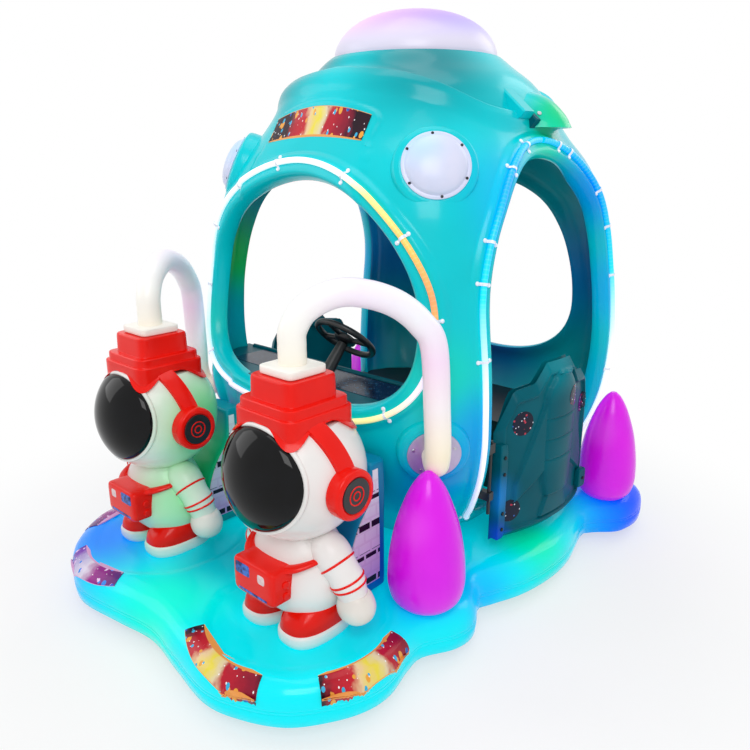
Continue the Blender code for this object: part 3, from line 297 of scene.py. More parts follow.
def shaded_cabin_gelcoat():
    # The same gelcoat on the inside faces, made a darker teal as painted shade, with pools of
    # blue and green light washing it.
    washes = both_sides(
        ((0.50, 0.80, 1.20), 0.50, "#0A58C8", 0.8), ((0.66, 0.42, 1.66), 0.28, "#0078D8", 0.9),
        ((0.72, 0.70, 1.35), 0.28, "#00A0F0", 0.8), ((0.70, 0.66, 0.75), 0.36, "#0048B8", 0.8))
    washes += [
        ((0.0, 1.0, 0.85), 0.50, "#0A3C9C", 0.9), ((-0.62, -0.20, 1.30), 0.34, "#10D860", 0.95),
        ((-0.60, -0.26, 1.02), 0.30, "#00C8E0", 0.9), ((0.62, -0.10, 0.75), 0.3, "#0A48A8", 0.8)]
    return moulded("#009CA6", "#00ACB6", 300.0, washes, wave=(150.0, 1.0), Roughness=0.28, **SATIN,
                   Coat_Roughness=0.08)


def lit_blue_gelcoat():
    # Translucent laminate over light strips: it glows cyan in the middle, blue at the lobes
    # and green round the figures' feet, and keeps a polished skin. A darker teal pool on the
    # deck between the figures is painted shade.
    washes = [
        ((-0.62, -1.00, 0.18), 0.50, "#0088FF", 1.0), ((0.86, 0.95, 0.14), 0.60, "#0050FF", 1.0),
        ((0.82, -0.20, 0.14), 0.26, "#0090FF", 0.6), ((-0.86, 0.95, 0.14), 0.60, "#0050FF", 1.0),
        ((-0.82, -0.20, 0.14), 0.34, "#0090FF", 0.8), ((0.0, -1.06, 0.18), 0.36, "#00F4D0", 0.8),
        ((0.30, -0.62, 0.21), 0.28, "#00E0C8", 0.9), ((-0.42, -0.72, 0.21), 0.24, "#00F0A0", 0.9),
        # darker teal between the figures: painted shade
        ((-0.05, -0.72, 0.21), 0.36, "#08A8B8", 0.9), ((0.76, 0.20, 0.21), 0.26, "#00F0B0", 0.9),
        ((0.62, -0.30, 0.21), 0.20, "#0094F0", 0.8)]
    return moulded(colours().cloud, "#00E4F0", 520.0, washes, wave=(210.0, 1.0), glow=0.22,
                   Roughness=0.18, **POLISHED, Coat_Roughness=0.04)


def deep_teal_gelcoat():
    # Darker gelcoat with a satin polish, which catches blue light from below. A lighter teal
    # pool along the top of each door is a painted highlight.
    washes = both_sides(
        ((0.76, 0.00, 0.46), 0.15, "#1888D8", 1.0), ((0.74, 0.00, 0.28), 0.13, "#1A50D8", 0.9),
        # lighter teal along the door's top: painted highlight
        ((0.78, 0.30, 0.98), 0.20, "#0A9AA8", 0.6))
    return moulded(colours().door, "#006472", 260.0, washes, wave=(90.0, 0.8), Roughness=0.34,
                   IOR=1.5, Specular_IOR_Level=0.08, Coat_Weight=0.03, Coat_Roughness=0.12)


def cabinet_gelcoat():
    # Satin blue-teal laminate of the cabinets behind the figures, with painted pools of light:
    # green over the left one and deep blue low on the right one.
    washes = [
        ((-0.42, -0.55, 0.45), 0.40, "#10D070", 0.9), ((0.42, -0.44, 0.30), 0.30, "#0A50C8", 0.9)]
    return moulded("#0A7CA8", "#0A8CB4", 220.0, washes, wave=(110.0, 0.8), Roughness=0.3, **SATIN,
                   Coat_Roughness=0.12)


def white_gelcoat():
    # White gelcoat, hand laid: glossy, very slightly warm, with soft low waves. The light
    # strips under the left figure wash it in green, and a pale cyan pool of painted light lies
    # at the right figure's feet.
    washes = [
        ((-0.22, -0.70, 0.74), 0.34, "#7CF09C", 1.0), ((-0.32, -0.80, 0.42), 0.26, "#98F2AE", 1.0),
        ((-0.38, -0.86, 0.24), 0.20, "#B4F4CC", 0.8), ((0.50, -0.70, 0.22), 0.14, "#D8F4F4", 0.6)]
    return moulded(colours().white, "#ECE9E6", 240.0, washes, wave=(120.0, 0.8), Roughness=0.22,
                   **POLISHED, Coat_Roughness=0.05)


def white_hand_gelcoat():
    # The same gelcoat in a slightly creamier mix, on arms and hands, with a green pool of
    # painted light by the left figure's outer hand.
    return moulded("#F0EBE4", "#E9E3DB", 180.0, [((-0.52, -0.74, 0.50), 0.14, "#C4F2CC", 0.8)],
                   wave=(100.0, 0.6), Roughness=0.24, **SATIN, Coat_Roughness=0.06)


def red_gelcoat():
    # Signal red gelcoat, thickly polished, a shade lighter in slow blotches.
    return moulded(colours().red, "#F41A0E", 160.0, wave=(80.0, 0.8), Roughness=0.20, **POLISHED,
                   Coat_Roughness=0.05)


def visor_acrylic():
    # Vacuum-formed black acrylic: a deep mirror gloss that bends what it reflects.
    return moulded("#020203", "#06070A", 90.0, wave=(140.0, 0.6), Roughness=0.06, IOR=1.49,
                   Specular_IOR_Level=0.16, Coat_Weight=0.1, Coat_Roughness=0.02)


def black_plastic():
    # Injection-moulded ABS with a fine spark grain; the grain is drawn at 2 mm so that it shows.
    return moulded("#101214", "#1A1C1F", 60.0, wave=(2.0, 0.12), Roughness=0.42, IOR=1.53)


def opal_acrylic():
    # Opal acrylic with a soft inner light: milky, warm at the foot of the hoses.
    return moulded("#F4F1EA", "#EFEAE2", 120.0, glow=0.10, wave=(60.0, 0.3), Roughness=0.28, **OPAL,
                   Coat_Roughness=0.08)


def opal_lamp():
    # Opal blow moulding with a cool lamp behind it: pale blue in the middle, grey-lilac rim.
    washes = both_sides(((0.50, -0.24, 1.76), 0.12, "#B8DCFF", 1.0))
    return moulded("#D6D8EE", "#CED4EC", 90.0, washes, glow=0.10, wave=(70.0, 0.3), Roughness=0.30,
                   **OPAL, Coat_Roughness=0.1)


def magenta_flame():
    # Magenta diffuser, blow moulded: even colour, lighter towards the foot where it is lit,
    # and a lighter pool on the front of each flame at mid height that is a painted highlight.
    places = FLAME_PLACES.values()
    washes = both_sides(*[((x, y, DECK_Z + 0.06), 0.16, "#F45CF4", 0.7) for x, y in places])
    # lighter pool on each flame's front at mid height: painted highlight
    washes += both_sides(*[((x, y - 0.1, DECK_Z + 0.34), 0.12, "#E84CEE", 0.5) for x, y in places])
    return moulded(colours().flame, "#D80AE6", 300.0, washes, glow=0.12, wave=(120.0, 0.6),
                   Roughness=0.26, **OPAL, Coat_Roughness=0.08)


def opal_dome():
    # Opal acrylic blow moulding, lit inside: milky white at the foot, pink to violet on top.
    material, tree, shader, place = new_finish(Emission_Strength=0.14, Roughness=0.30, **OPAL,
        Coat_Roughness=0.1)
    split = add_node(tree, "ShaderNodeSeparateXYZ", {"Vector": place})
    low, high = (corner.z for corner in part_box("roof_dome"))
    side = add_node(tree, "ShaderNodeMapRange", {
        "Value": split.outputs["X"], "From Min": -0.30, "From Max": 0.34})
    glow = add_node(tree, "ShaderNodeValToRGB", {"Fac": side.outputs["Result"]}, stops=(
        (0.0, "#EFC0F6"), (0.35, "#EAB4F4"), (0.70, "#C49AF6"), (1.0, "#8E86E8")))
    up = add_node(tree, "ShaderNodeMapRange", {
        "Value": split.outputs["Z"], "From Min": low + 0.03, "From Max": high - 0.02},
        interpolation_type="SMOOTHSTEP")
    colour = add_node(tree, "ShaderNodeMix", {
        0: up.outputs["Result"], 6: linear("#DCD6EA"), 7: glow.outputs["Color"]}, data_type="RGBA")
    tree.links.new(colour.outputs[2], shader.inputs["Base Color"])
    tree.links.new(colour.outputs[2], shader.inputs["Emission Color"])
    waved(tree, shader, place, 90.0, 0.5)
    return material


def tube_light(stops, glow, bead):
    """Opal silicone tube with light strips inside. Its colour follows the tube's own length,
    with soft lighter beads where the diodes sit, 17 mm apart."""
    material, tree, shader, _ = new_finish(Emission_Strength=glow, Roughness=0.32, IOR=1.41,
                                           Coat_Weight=0.10, Coat_Roughness=0.1)
    along = add_node(tree, "ShaderNodeAttribute", attribute_name="along").outputs["Fac"]
    run = add_node(tree, "ShaderNodeAttribute", attribute_name="run").outputs["Fac"]
    colour = add_node(tree, "ShaderNodeValToRGB", {"Fac": along}, stops=stops).outputs["Color"]
    beads = add_node(tree, "ShaderNodeMath", {0: run, 1: TAU / 0.017}, operation="MULTIPLY")
    beads = add_node(tree, "ShaderNodeMath", {0: beads.outputs[0]}, operation="SINE")
    share = add_node(tree, "ShaderNodeMapRange", {
        "Value": beads.outputs[0], "From Min": 0.2, "From Max": 1.0, "To Max": bead})
    colour = add_node(tree, "ShaderNodeMix", {
        0: share.outputs["Result"], 6: colour, 7: linear("#FFFFFF")}, data_type="RGBA").outputs[2]
    tree.links.new(colour, shader.inputs["Base Color"])
    tree.links.new(colour, shader.inputs["Emission Color"])
    return material


def windscreen_light():
    # White over the top, yellow to red down the right side, lilac and warm white underneath.
    return tube_light((
        (0.0, "#FFB860"), (0.035, "#FF9A62"), (0.09, "#FFC05C"), (0.15, "#FFE890"), (0.19, "#FFFFFF"),
        (0.48, "#F4FCFF"), (0.56, "#C8F4FF"), (0.68, "#F8E8FF"), (0.76, "#FFF2B0"), (0.86, "#FFF0A0"),
        (0.93, "#F4E8FF"), (0.985, "#F0E4FF"), (1.0, "#FFB860")), 0.42, 0.06)


def doorway_light():
    # White at the foot of each run, through lilac to cyan and blue over the top.
    return tube_light((
        (0.0, "#F4F0FF"), (0.38, "#FFFFFF"), (0.50, "#A8ECFF"), (0.58, "#10DCFF"), (0.80, "#00A4FF"),
        (1.0, "#00C4FF")), 0.40, 0.05)


def hose_light():
    # Thick opal hose with strips inside: white with lilac and pink tints, warm by the flange.
    return tube_light((
        (0.0, "#F6EFE0"), (0.12, "#F4F4F0"), (0.30, "#F2E8F6"), (0.48, "#F0F0F6"), (0.62, "#F4DCF2"),
        (0.76, "#F6EEF0"), (0.90, "#FAF0D4"), (1.0, "#F6EEDC")), 0.14, 0.01)


def zinc_screw():
    # Bright zinc on pressed steel: a light grey metal with faint turning marks.
    return moulded("#C9CBD0", "#B4B6BC", 12.0, wave=(3.0, 0.05), Metallic=1.0, Roughness=0.30)


def clear_cap():
    # Clear polycarbonate screw cover: a pale glassy bead with a bright edge. It also glows
    # faintly, painted light from the tube beside it.
    return moulded("#DCE4F4", "#F2F4FA", 9.0, glow=0.12, wave=(6.0, 0.1), Roughness=0.10, IOR=1.58,
                   Coat_Weight=0.8, Coat_Roughness=0.03)


def black_screw():
    # Blackened steel: nearly black, satin.
    return moulded("#15161A", "#202227", 8.0, wave=(3.0, 0.05), Metallic=0.6, Roughness=0.38)


def painted_steel():
    # Powder-coated tube: dark grey with the fine orange peel that baked powder shows.
    return moulded("#23272B", "#2C3136", 120.0, wave=(4.0, 0.10), Roughness=0.46, IOR=1.5)


def zinc_steel():
    # Zinc-plated steel: grey metal clouded by the plating, with fine scratches.
    return moulded("#B9BCC2", "#9EA2A9", 40.0, wave=(5.0, 0.06), Metallic=1.0, Roughness=0.28)


def flange_zinc():
    # Turned aluminium flange, clear lacquered, with a lilac tint from the lit hose above it.
    return moulded("#C6BCD6", "#B8B0CA", 60.0, wave=(8.0, 0.05), Metallic=0.55, Roughness=0.34)


def foot_rubber():
    # Moulded rubber: matt, almost black, slightly dusty.
    return moulded("#141414", "#232322", 25.0, wave=(3.0, 0.15), Roughness=0.75, IOR=1.52)


def print_film(stops, bead, edge, edge_from):
    """Printed vinyl film under a gloss laminate: bands of colour along its length, round spots
    of three sizes, stars, and a thin printed edge. The map lay holds metres along and across
    the film, measured from its middle line, and edge_from is where the edge starts."""
    material, tree, shader, _ = new_finish(Roughness=0.22, **POLISHED,
                                           Coat_Roughness=0.05)
    lay = add_node(tree, "ShaderNodeUVMap", uv_map="lay").outputs["UV"]
    split = add_node(tree, "ShaderNodeSeparateXYZ", {"Vector": lay})
    wobble = add_node(tree, "ShaderNodeTexNoise", {"Vector": lay, "Scale": 22.0, "Detail": 3.0})
    shift = add_node(tree, "ShaderNodeMath", {0: wobble.outputs["Fac"], 1: 0.10}, operation="MULTIPLY")
    along = add_node(tree, "ShaderNodeMath", {0: split.outputs["X"], 1: shift.outputs[0]})
    along = add_node(tree, "ShaderNodeMath", {0: along.outputs[0], 1: 1.9, 2: 0.5},
                     operation="MULTIPLY_ADD")
    share = add_node(tree, "ShaderNodeMath", {0: along.outputs[0]}, operation="FRACT")
    colour = add_node(tree, "ShaderNodeValToRGB", {"Fac": share.outputs[0]},
                      stops=stops).outputs["Color"]
    for scale, reach, tint in bead:
        cells = add_node(tree, "ShaderNodeTexVoronoi", {
            "Vector": lay, "Scale": scale, "Randomness": 0.8})
        spot = add_node(tree, "ShaderNodeMath", {0: cells.outputs["Distance"], 1: reach},
                        operation="LESS_THAN")
        colour = add_node(tree, "ShaderNodeMix", {
            0: spot.outputs[0], 6: colour, 7: linear(tint)}, data_type="RGBA").outputs[2]
    off = add_node(tree, "ShaderNodeMath", {0: split.outputs["Y"]}, operation="ABSOLUTE")
    rim = add_node(tree, "ShaderNodeMath", {0: off.outputs[0], 1: edge_from}, operation="GREATER_THAN")
    colour = add_node(tree, "ShaderNodeMix", {
        0: rim.outputs[0], 6: colour, 7: linear(edge)}, data_type="RGBA").outputs[2]
    tree.links.new(colour, shader.inputs["Base Color"])
    return material


def warm_film():
    # Space print in dark plum, red and yellow, with planets as plain spots and an orange edge.
    return print_film((
        (0.0, "#1E0818"), (0.26, "#2E0A1E"), (0.32, "#B4142A"), (0.44, "#C82030"), (0.50, "#F0D0A0"),
        (0.60, "#F2E048"), (0.68, "#E8D8B0"), (0.74, "#C01C30"), (0.94, "#8A1430"), (1.0, "#2A0A22")),
        ((26.0, 0.26, "#F2A840"), (34.0, 0.22, "#38B4E0"), (62.0, 0.15, "#FFFFFF"),
         (20.0, 0.17, "#2A5CC0")), "#F0A050", FILM_EDGE)


def cool_film():
    # Space print in blue, violet and lilac, with planets as plain spots and a pale edge.
    return print_film((
        (0.0, "#101C78"), (0.20, "#2A1C98"), (0.32, "#8030B8"), (0.46, "#C8C0E8"), (0.58, "#E4DCF0"),
        (0.70, "#A01C90"), (0.88, "#701878"), (1.0, "#101C78")),
        ((26.0, 0.26, "#2888F0"), (34.0, 0.22, "#F0C8F8"), (62.0, 0.15, "#FFFFFF"),
         (20.0, 0.17, "#1050D0")), "#E0A8D8", FILM_EDGE)


def dark_film():
    # Round door print: night blue with a few pale and red spots.
    return print_film(((0.0, "#0A1024"), (0.5, "#14203E"), (1.0, "#0A1024")),
                      ((46.0, 0.22, "#C83A50"), (60.0, 0.20, "#E8E8F4"), (38.0, 0.16, "#3C6CC0")),
                      "#3A4A6C", NO_EDGE)


def dash_film():
    # Speckled print on the shelf: dark blue with scattered grey-blue flecks.
    return print_film((
        (0.0, "#0A1838"), (0.4, "#10304E"), (0.7, "#0C2444"), (1.0, "#0A1838")),
        ((30.0, 0.28, "#1C4866"), (44.0, 0.22, "#0A0E20"), (70.0, 0.14, "#5C8CA4")),
        "#0E6C7C", NO_EDGE)


def cabinet_print():
    """White-pink film with dark window shapes and ruled lines, like the side of a control
    cabinet: windows come from a brick pattern, kept where a slow noise is low."""
    # Laminated vinyl: smooth and slightly glossy.
    material, tree, shader, _ = new_finish(Roughness=0.25, **SATIN, Coat_Roughness=0.05)
    lay = add_node(tree, "ShaderNodeUVMap", uv_map="lay").outputs["UV"]
    split = add_node(tree, "ShaderNodeSeparateXYZ", {"Vector": lay})
    up = add_node(tree, "ShaderNodeMapRange", {"Value": split.outputs["Y"], "From Max": 0.40})
    ground = add_node(tree, "ShaderNodeValToRGB", {"Fac": up.outputs["Result"]}, stops=(
        (0.0, "#E89CDC"), (0.35, "#F4D4EE"), (0.7, "#F6F0F8"), (1.0, "#F8F8FA"))).outputs["Color"]
    bricks = add_node(tree, "ShaderNodeTexBrick", {
        "Vector": lay, "Scale": 14.0, "Mortar Size": 0.07, "Color1": (1, 1, 1, 1),
        "Color2": (1, 1, 1, 1), "Mortar": (0, 0, 0, 1), "Brick Width": 0.9, "Row Height": 0.62})
    rows = add_node(tree, "ShaderNodeMath", {0: split.outputs["Y"], 1: 9.0}, operation="MULTIPLY")
    rows = add_node(tree, "ShaderNodeMath", {0: rows.outputs[0]}, operation="FRACT")
    dark_row = add_node(tree, "ShaderNodeMath", {0: rows.outputs[0], 1: 0.26}, operation="LESS_THAN")
    window = add_node(tree, "ShaderNodeMath", {0: bricks.outputs["Color"], 1: dark_row.outputs[0]},
                      operation="MULTIPLY")
    colour = add_node(tree, "ShaderNodeMix", {
        0: window.outputs[0], 6: ground, 7: linear("#241428")}, data_type="RGBA").outputs[2]
    line = add_node(tree, "ShaderNodeMath", {0: bricks.outputs["Fac"], 1: 0.14}, operation="MULTIPLY")
    colour = add_node(tree, "ShaderNodeMix", {
        0: line.outputs[0], 6: colour, 7: linear("#C070B0")}, data_type="RGBA").outputs[2]
    tree.links.new(colour, shader.inputs["Base Color"])
    return material


def screen_blue():
    # Printed display film: deep blue with lighter blocks.
    return moulded("#10205C", "#3C78D8", 14.0, wave=(20.0, 0.05), Roughness=0.2, **POLISHED,
                   Coat_Roughness=0.04)


def badge_white():
    # Small enamelled badge, off-white with a pink cast.
    return moulded("#F0DCDC", "#E4C4C6", 10.0, wave=(12.0, 0.05), Roughness=0.2, **POLISHED,
                   Coat_Roughness=0.04)


# ---------------- surfaces
def curve_through(x, stations, values):
    """Cubic through the stations: at each one its slope is that of its neighbours' chord."""
    xs, ys = np.asarray(stations, float), np.asarray(values, float)
    slopes = np.gradient(ys, xs)
    i = np.clip(np.searchsorted(xs, x, side="right") - 1, 0, len(xs) - 2)
    step = xs[i + 1] - xs[i]
    t = np.clip((x - xs[i]) / step, 0, 1)
    return ((1 + 2 * t) * (1 - t) ** 2 * ys[i] + t * (1 - t) ** 2 * step * slopes[i]
            + t * t * (3 - 2 * t) * ys[i + 1] + t * t * (t - 1) * step * slopes[i + 1])


def smooth_step(value, low, high):
    """0 below low, 1 above high, and 3t^2 - 2t^3 between."""
    t = np.clip((value - low) / (high - low), 0, 1)
    return t * t * (3 - 2 * t)


def grid(*coordinates):
    """Points of some coordinates, each spread over the grid that they share."""
    return np.stack(np.broadcast_arrays(*coordinates), axis=-1)


def unit(vectors):
    """Vectors over their own lengths."""
    return vectors / np.maximum(np.linalg.norm(vectors, axis=-1, keepdims=True), 1e-12)


def net(rows, columns, wrap_rows=False, wrap_columns=True):
    """Quads of a grid of points, numbered along its columns."""
    i = np.arange(rows if wrap_rows else rows - 1)[:, None]
    j = np.arange(columns if wrap_columns else columns - 1)[None, :]
    k, m = (i + 1) % rows, (j + 1) % columns
    quads = grid(i * columns + j, i * columns + m, k * columns + m, k * columns + j)
    return quads.reshape(-1, 4)


def skin(rings):
    """Closed surface through rings of points (rows, columns, 3), each end closed to a pole. A
    triangle is a quad whose last corner is -1."""
    rows, columns = rings.shape[:2]
    points = np.concatenate([rings.reshape(-1, 3), rings[:1].mean(1), rings[-1:].mean(1)])
    j = np.arange(columns)
    k, last, top = (j + 1) % columns, rows * columns, (rows - 1) * columns
    none = np.full(columns, -1)
    low = grid(np.full(columns, last), k, j, none)
    high = grid(np.full(columns, last + 1), top + j, top + k, none)
    return points, np.concatenate([net(rows, columns), low, high])


def joined(*parts):
    """Several (points, faces) as one."""
    starts = np.cumsum([0] + [len(p) for p, _ in parts])
    faces = [np.where(f >= 0, f + start, -1) for (_, f), start in zip(parts, starts)]
    return np.concatenate([p for p, _ in parts]), np.concatenate(faces)


def placed(name, data):
    """A new object with its data, in the scene."""
    thing = bpy.data.objects.new(name, data)
    bpy.context.scene.collection.objects.link(thing)
    return thing


def piece(name, surface, finishes, slot=None, body="ride", replaces=(), crease=35.0, marks=None,
          numbers=None, lay=None):
    """One finished object from (points, faces). Doubles are merged, faces turn outwards, and
    edges sharper than the crease angle stay sharp. marks gives each face's finish, numbers
    named values per point, and lay each point's place on a film in metres. The slot is not
    used."""
    points, faces = surface
    finishes = finishes if isinstance(finishes, list) else [finishes]
    rows = [row[:3] if row[3] < 0 else row for row in faces.tolist()]
    mesh = bpy.data.meshes.new(name)
    mesh.from_pydata(np.asarray(points, float).tolist(), [], rows)
    for make in finishes:
        mesh.materials.append(finish(make))
    if marks is not None:
        mesh.polygons.foreach_set("material_index", np.asarray(marks, np.int32))
    for key, values in (numbers or {}).items():
        layer = mesh.attributes.new(key, "FLOAT", "POINT")
        layer.data.foreach_set("value", np.asarray(values, np.float32))
    if lay is not None:
        corners = np.empty(len(mesh.loops), np.int32)
        mesh.loops.foreach_get("vertex_index", corners)
        layer = mesh.uv_layers.new(name="lay")
        layer.data.foreach_set("uv", np.asarray(lay, np.float32)[corners].reshape(-1))
    shape = bmesh.new()
    shape.from_mesh(mesh)
    bmesh.ops.remove_doubles(shape, verts=shape.verts, dist=2e-6)
    bmesh.ops.recalc_face_normals(shape, faces=shape.faces)
    shape.to_mesh(mesh)
    shape.free()
    mesh.polygons.foreach_set("use_smooth", np.ones(len(mesh.polygons), bool))
    mesh.set_sharp_from_angle(angle=math.radians(crease))
    thing = placed(name, mesh)
    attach(thing, body)
    slot or finishes[0].__name__
    if replaces:
        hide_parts(*([replaces] if isinstance(replaces, str) else replaces))
    return thing


def pair(name, surface, finishes, slot=None, body="ride", replaces="", **rest):
    """A piece on the right and its mirror image in the plane x = 0. The side ends the names of
    the piece, of the node it replaces and of a body other than the ride."""
    for side, sign in (("right", 1), ("left", -1)):
        piece(f"{name}_{side}", (surface[0] * (sign, 1, 1), surface[1]), finishes, slot,
              body if body == "ride" else f"{body}_{side}",
              f"{replaces}_{side}" if replaces else (), **rest)


def turned(profile, around=48, smooth=0):
    """Rings of a profile of (radius, height) carried round the Z axis."""
    profile = np.asarray(profile, float)
    if smooth:
        t = np.arange(len(profile))
        fine = np.linspace(0, len(profile) - 1, (len(profile) - 1) * smooth + 1)
        profile = np.stack([curve_through(fine, t, profile[:, k]) for k in (0, 1)], axis=1)
    angle = TAU * np.arange(around) / around
    r, z = profile[:, :1], profile[:, 1:]
    return grid(r * np.cos(angle), r * np.sin(angle), z)


def rounded_rim(radius, low, high, bevel, steps=6):
    """Profile of a flat disc with round upper and lower edges."""
    a = np.linspace(0, math.pi / 2, steps)
    up = [(radius - bevel + bevel * math.cos(t), high - bevel + bevel * math.sin(t)) for t in a]
    down = [(radius - bevel + bevel * math.cos(t), low + bevel - bevel * math.sin(t)) for t in a[::-1]]
    return down + up


def aimed(surface, place, axis):
    """The surface turned so that +Z looks along the axis, then moved to the place."""
    turn = np.array(Vector(axis).to_track_quat("Z", "Y").to_matrix())
    return surface[0] @ turn.T + np.asarray(place, float), surface[1]


def aimed_skin(rings, place, axis):
    """A closed skin over rings about z, turned so that z points along the axis at the place."""
    return aimed(skin(rings), place, axis)


def screw_ring(profile, radius, lift, degrees, place, axis, sides):
    """Screw heads at given degrees of a circle about the axis, lifted along it."""
    head = skin(turned(profile, sides))
    spots = [(radius * math.cos(t), radius * math.sin(t), lift) for t in map(math.radians, degrees)]
    return joined(*[aimed(moved(head, spot), place, axis) for spot in spots])


def moved(surface, offset):
    """The surface with the offset added to every point."""
    return surface[0] + np.asarray(offset, float), surface[1]


def block(half, power=5.0, around=48, rise=24):
    """Superellipsoid: |x/a|^n + |y/b|^n + |z/c|^n = 1, a box with soft edges when n is large."""
    v = np.linspace(-math.pi / 2, math.pi / 2, rise + 1)[1:-1, None]
    u = (TAU * np.arange(around) / around)[None, :]
    e = 2.0 / power
    cv, sv = np.abs(np.cos(v)) ** e, np.sign(np.sin(v)) * np.abs(np.sin(v)) ** e
    x = half[0] * cv * np.sign(np.cos(u)) * np.abs(np.cos(u)) ** e
    y = half[1] * cv * np.sign(np.sin(u)) * np.abs(np.sin(u)) ** e
    return skin(grid(x, y, half[2] * sv))


def slab(top, under):
    """Closed sheet between two grids of points."""
    return skin(np.concatenate([top, under[:, ::-1]], axis=1))


def slab_lay(lay):
    """The film's places for the points of a slab, in its order."""
    rings = np.concatenate([lay, lay[:, ::-1]], axis=1)
    return np.concatenate([rings.reshape(-1, 2), rings[:1].mean(1), rings[-1:].mean(1)])


def path_frames(line, closed=False):
    """Unit tangents of a line of points, and two unit normals that turn as little as they can."""
    if closed:
        along = np.roll(line, -1, axis=0) - np.roll(line, 1, axis=0)
    else:
        along = np.gradient(line, axis=0)
    along = unit(along)
    start = np.array((0.0, 0.0, 1.0)) if abs(along[0, 2]) < 0.9 else np.array((1.0, 0.0, 0.0))
    side = np.empty_like(line)
    side[0] = unit(np.cross(along[0], start))
    for i in range(1, len(line)):
        side[i] = unit(side[i - 1] - along[i] * (side[i - 1] @ along[i]))
    return along, side, np.cross(along, side)


def tube(line, radius, around=20, closed=False, flat=1.0):
    """Rings of a circle carried along a line of points; the radius may vary along it."""
    line = np.asarray(line, float)
    _, side, other = path_frames(line, closed)
    angle = TAU * np.arange(around) / around
    radius = np.broadcast_to(np.asarray(radius, float), (len(line),))[:, None, None]
    return line[:, None] + radius * (np.cos(angle)[None, :, None] * side[:, None]
                                     + flat * np.sin(angle)[None, :, None] * other[:, None])


def ring_tube(rings):
    """Closed surface whose rings also meet end to end."""
    rows, columns = rings.shape[:2]
    return rings.reshape(-1, 3), net(rows, columns, wrap_rows=True)


def hoop(radius, thickness, place, axis, around=64, sides=10):
    """A circle's tube: every point is at the thickness from a circle about the axis."""
    angle = TAU * np.arange(around) / around
    u, v = angle[:, None], (TAU * np.arange(sides) / sides)[None, :]
    r = radius + thickness * np.cos(v)
    rings = grid(r * np.cos(u), r * np.sin(u), thickness * np.sin(v))
    return aimed(ring_tube(rings), place, axis)


def spline(points, steps, closed=False):
    """Catmull-Rom curve through the points, with this many steps between neighbours."""
    p = np.asarray(points, float)
    if closed:
        a, b, c, d = np.roll(p, 1, 0), p, np.roll(p, -1, 0), np.roll(p, -2, 0)
    else:
        ends = np.concatenate([[2 * p[0] - p[1]], p, [2 * p[-1] - p[-2]]])
        a, b, c, d = ends[:-3], ends[1:-2], ends[2:-1], ends[3:]
    t = (np.arange(steps) / steps)[None, :, None]
    a, b, c, d = (q[:, None] for q in (a, b, c, d))
    curve = 0.5 * (2 * b + (c - a) * t + (2 * a - 5 * b + 4 * c - d) * t**2
                   + (3 * b - a - 3 * c + d) * t**3)
    curve = curve.reshape(-1, p.shape[1])
    return curve if closed else np.concatenate([curve, p[-1:]])


def run_of(line, closed=False):
    """Distance along a line to each of its points."""
    full = np.concatenate([line, line[:1]]) if closed else line
    return np.concatenate([[0], np.cumsum(np.linalg.norm(np.diff(full, axis=0), axis=1))])


def evenly(line, count, closed=False):
    """The line's points moved to even spacing."""
    full = np.concatenate([line, line[:1]]) if closed else line
    run = run_of(line, closed)
    at = np.linspace(0, run[-1], count + 1)[:-1] if closed else np.linspace(0, run[-1], count)
    return np.stack([np.interp(at, run, full[:, k]) for k in range(full.shape[1])], axis=1)


# ---------------- capsule
def capsule_half(h):
    """Half width at a height: the profile's share, smoothed, times the widest half width."""
    return CAPSULE_HALF_WIDTH * curve_through(h, PROFILE[:, 0], PROFILE[:, 1])


def capsule_power(h):
    """The power n of the capsule's superellipse plan at height h."""
    return curve_through(h, PROFILE[:, 0], PROFILE[:, 2])


def capsule_point(turn, h, inside=0.0):
    """Superellipse rings: at azimuth turn the radius is (half width) times
    (|cos|^n + |sin|^n)^(-1/n), with half width and n smooth functions of the height."""
    half, n = capsule_half(h) - inside, capsule_power(h)
    cos, sin = np.cos(turn), np.sin(turn)
    radius = half * (np.abs(cos) ** n + np.abs(sin) ** n) ** (-1 / n)
    return grid(radius * cos, CAPSULE_Y + radius * sin, DECK_Z + h)


def capsule_normal(turn, h):
    """Unit cross product of small steps round and up the surface."""
    d = 1e-3
    round_it = capsule_point(turn + d, h) - capsule_point(turn - d, h)
    up_it = capsule_point(turn, np.minimum(h + d, SHELL_TOP)) - capsule_point(turn, h - d)
    return unit(np.cross(round_it, up_it))


OPENINGS = {  # azimuth, half width, middle height, rise, drop, squareness above and below
    "front": (270.0, 0.59, 0.95, 0.525, 0.325, 1.95, 3.0),
    "right": (0.0, 0.46, 0.95, 0.60, 0.91, 2.0, 2.4),
    "rear": (90.0, 0.475, 0.90, 0.56, 0.35, 2.0, 2.3),
    "left": (180.0, 0.46, 0.95, 0.60, 0.91, 2.0, 2.4),
}
SECTORS = {"right": (-41.0, 45.0), "rear": (45.0, 135.0), "left": (135.0, 221.0),
           "front": (221.0, 319.0)}


def oval_point(opening, angle, margin=0.0):
    """Egg-shaped outline: a superellipse whose rise and squareness differ above and below."""
    _, half, middle, up, down, n_up, n_down = OPENINGS[opening]
    cos, sin = np.cos(angle), np.sin(angle)
    n = np.where(sin >= 0, n_up, n_down)
    rise = np.where(sin >= 0, up, down) + margin
    reach = (np.abs(cos) ** n + np.abs(sin) ** n) ** (-1 / n)
    return (half + margin) * reach * cos, middle + rise * reach * sin


def azimuth_of(opening, across, h):
    """Azimuth of the capsule's point at a distance across an opening's face."""
    half, n = capsule_half(h), capsule_power(h)
    share = np.clip(np.abs(across) / half, 0, 0.98)
    depth = half * (1 - share**n) ** (1 / n)
    return math.radians(OPENINGS[opening][0]) + np.arctan2(across, depth)


def across_of(opening, turn, h):
    """Distance across an opening's face of the capsule's point at an azimuth."""
    p = capsule_point(turn, h)
    middle = math.radians(OPENINGS[opening][0])
    return -math.sin(middle) * p[..., 0] + math.cos(middle) * (p[..., 1] - CAPSULE_Y)


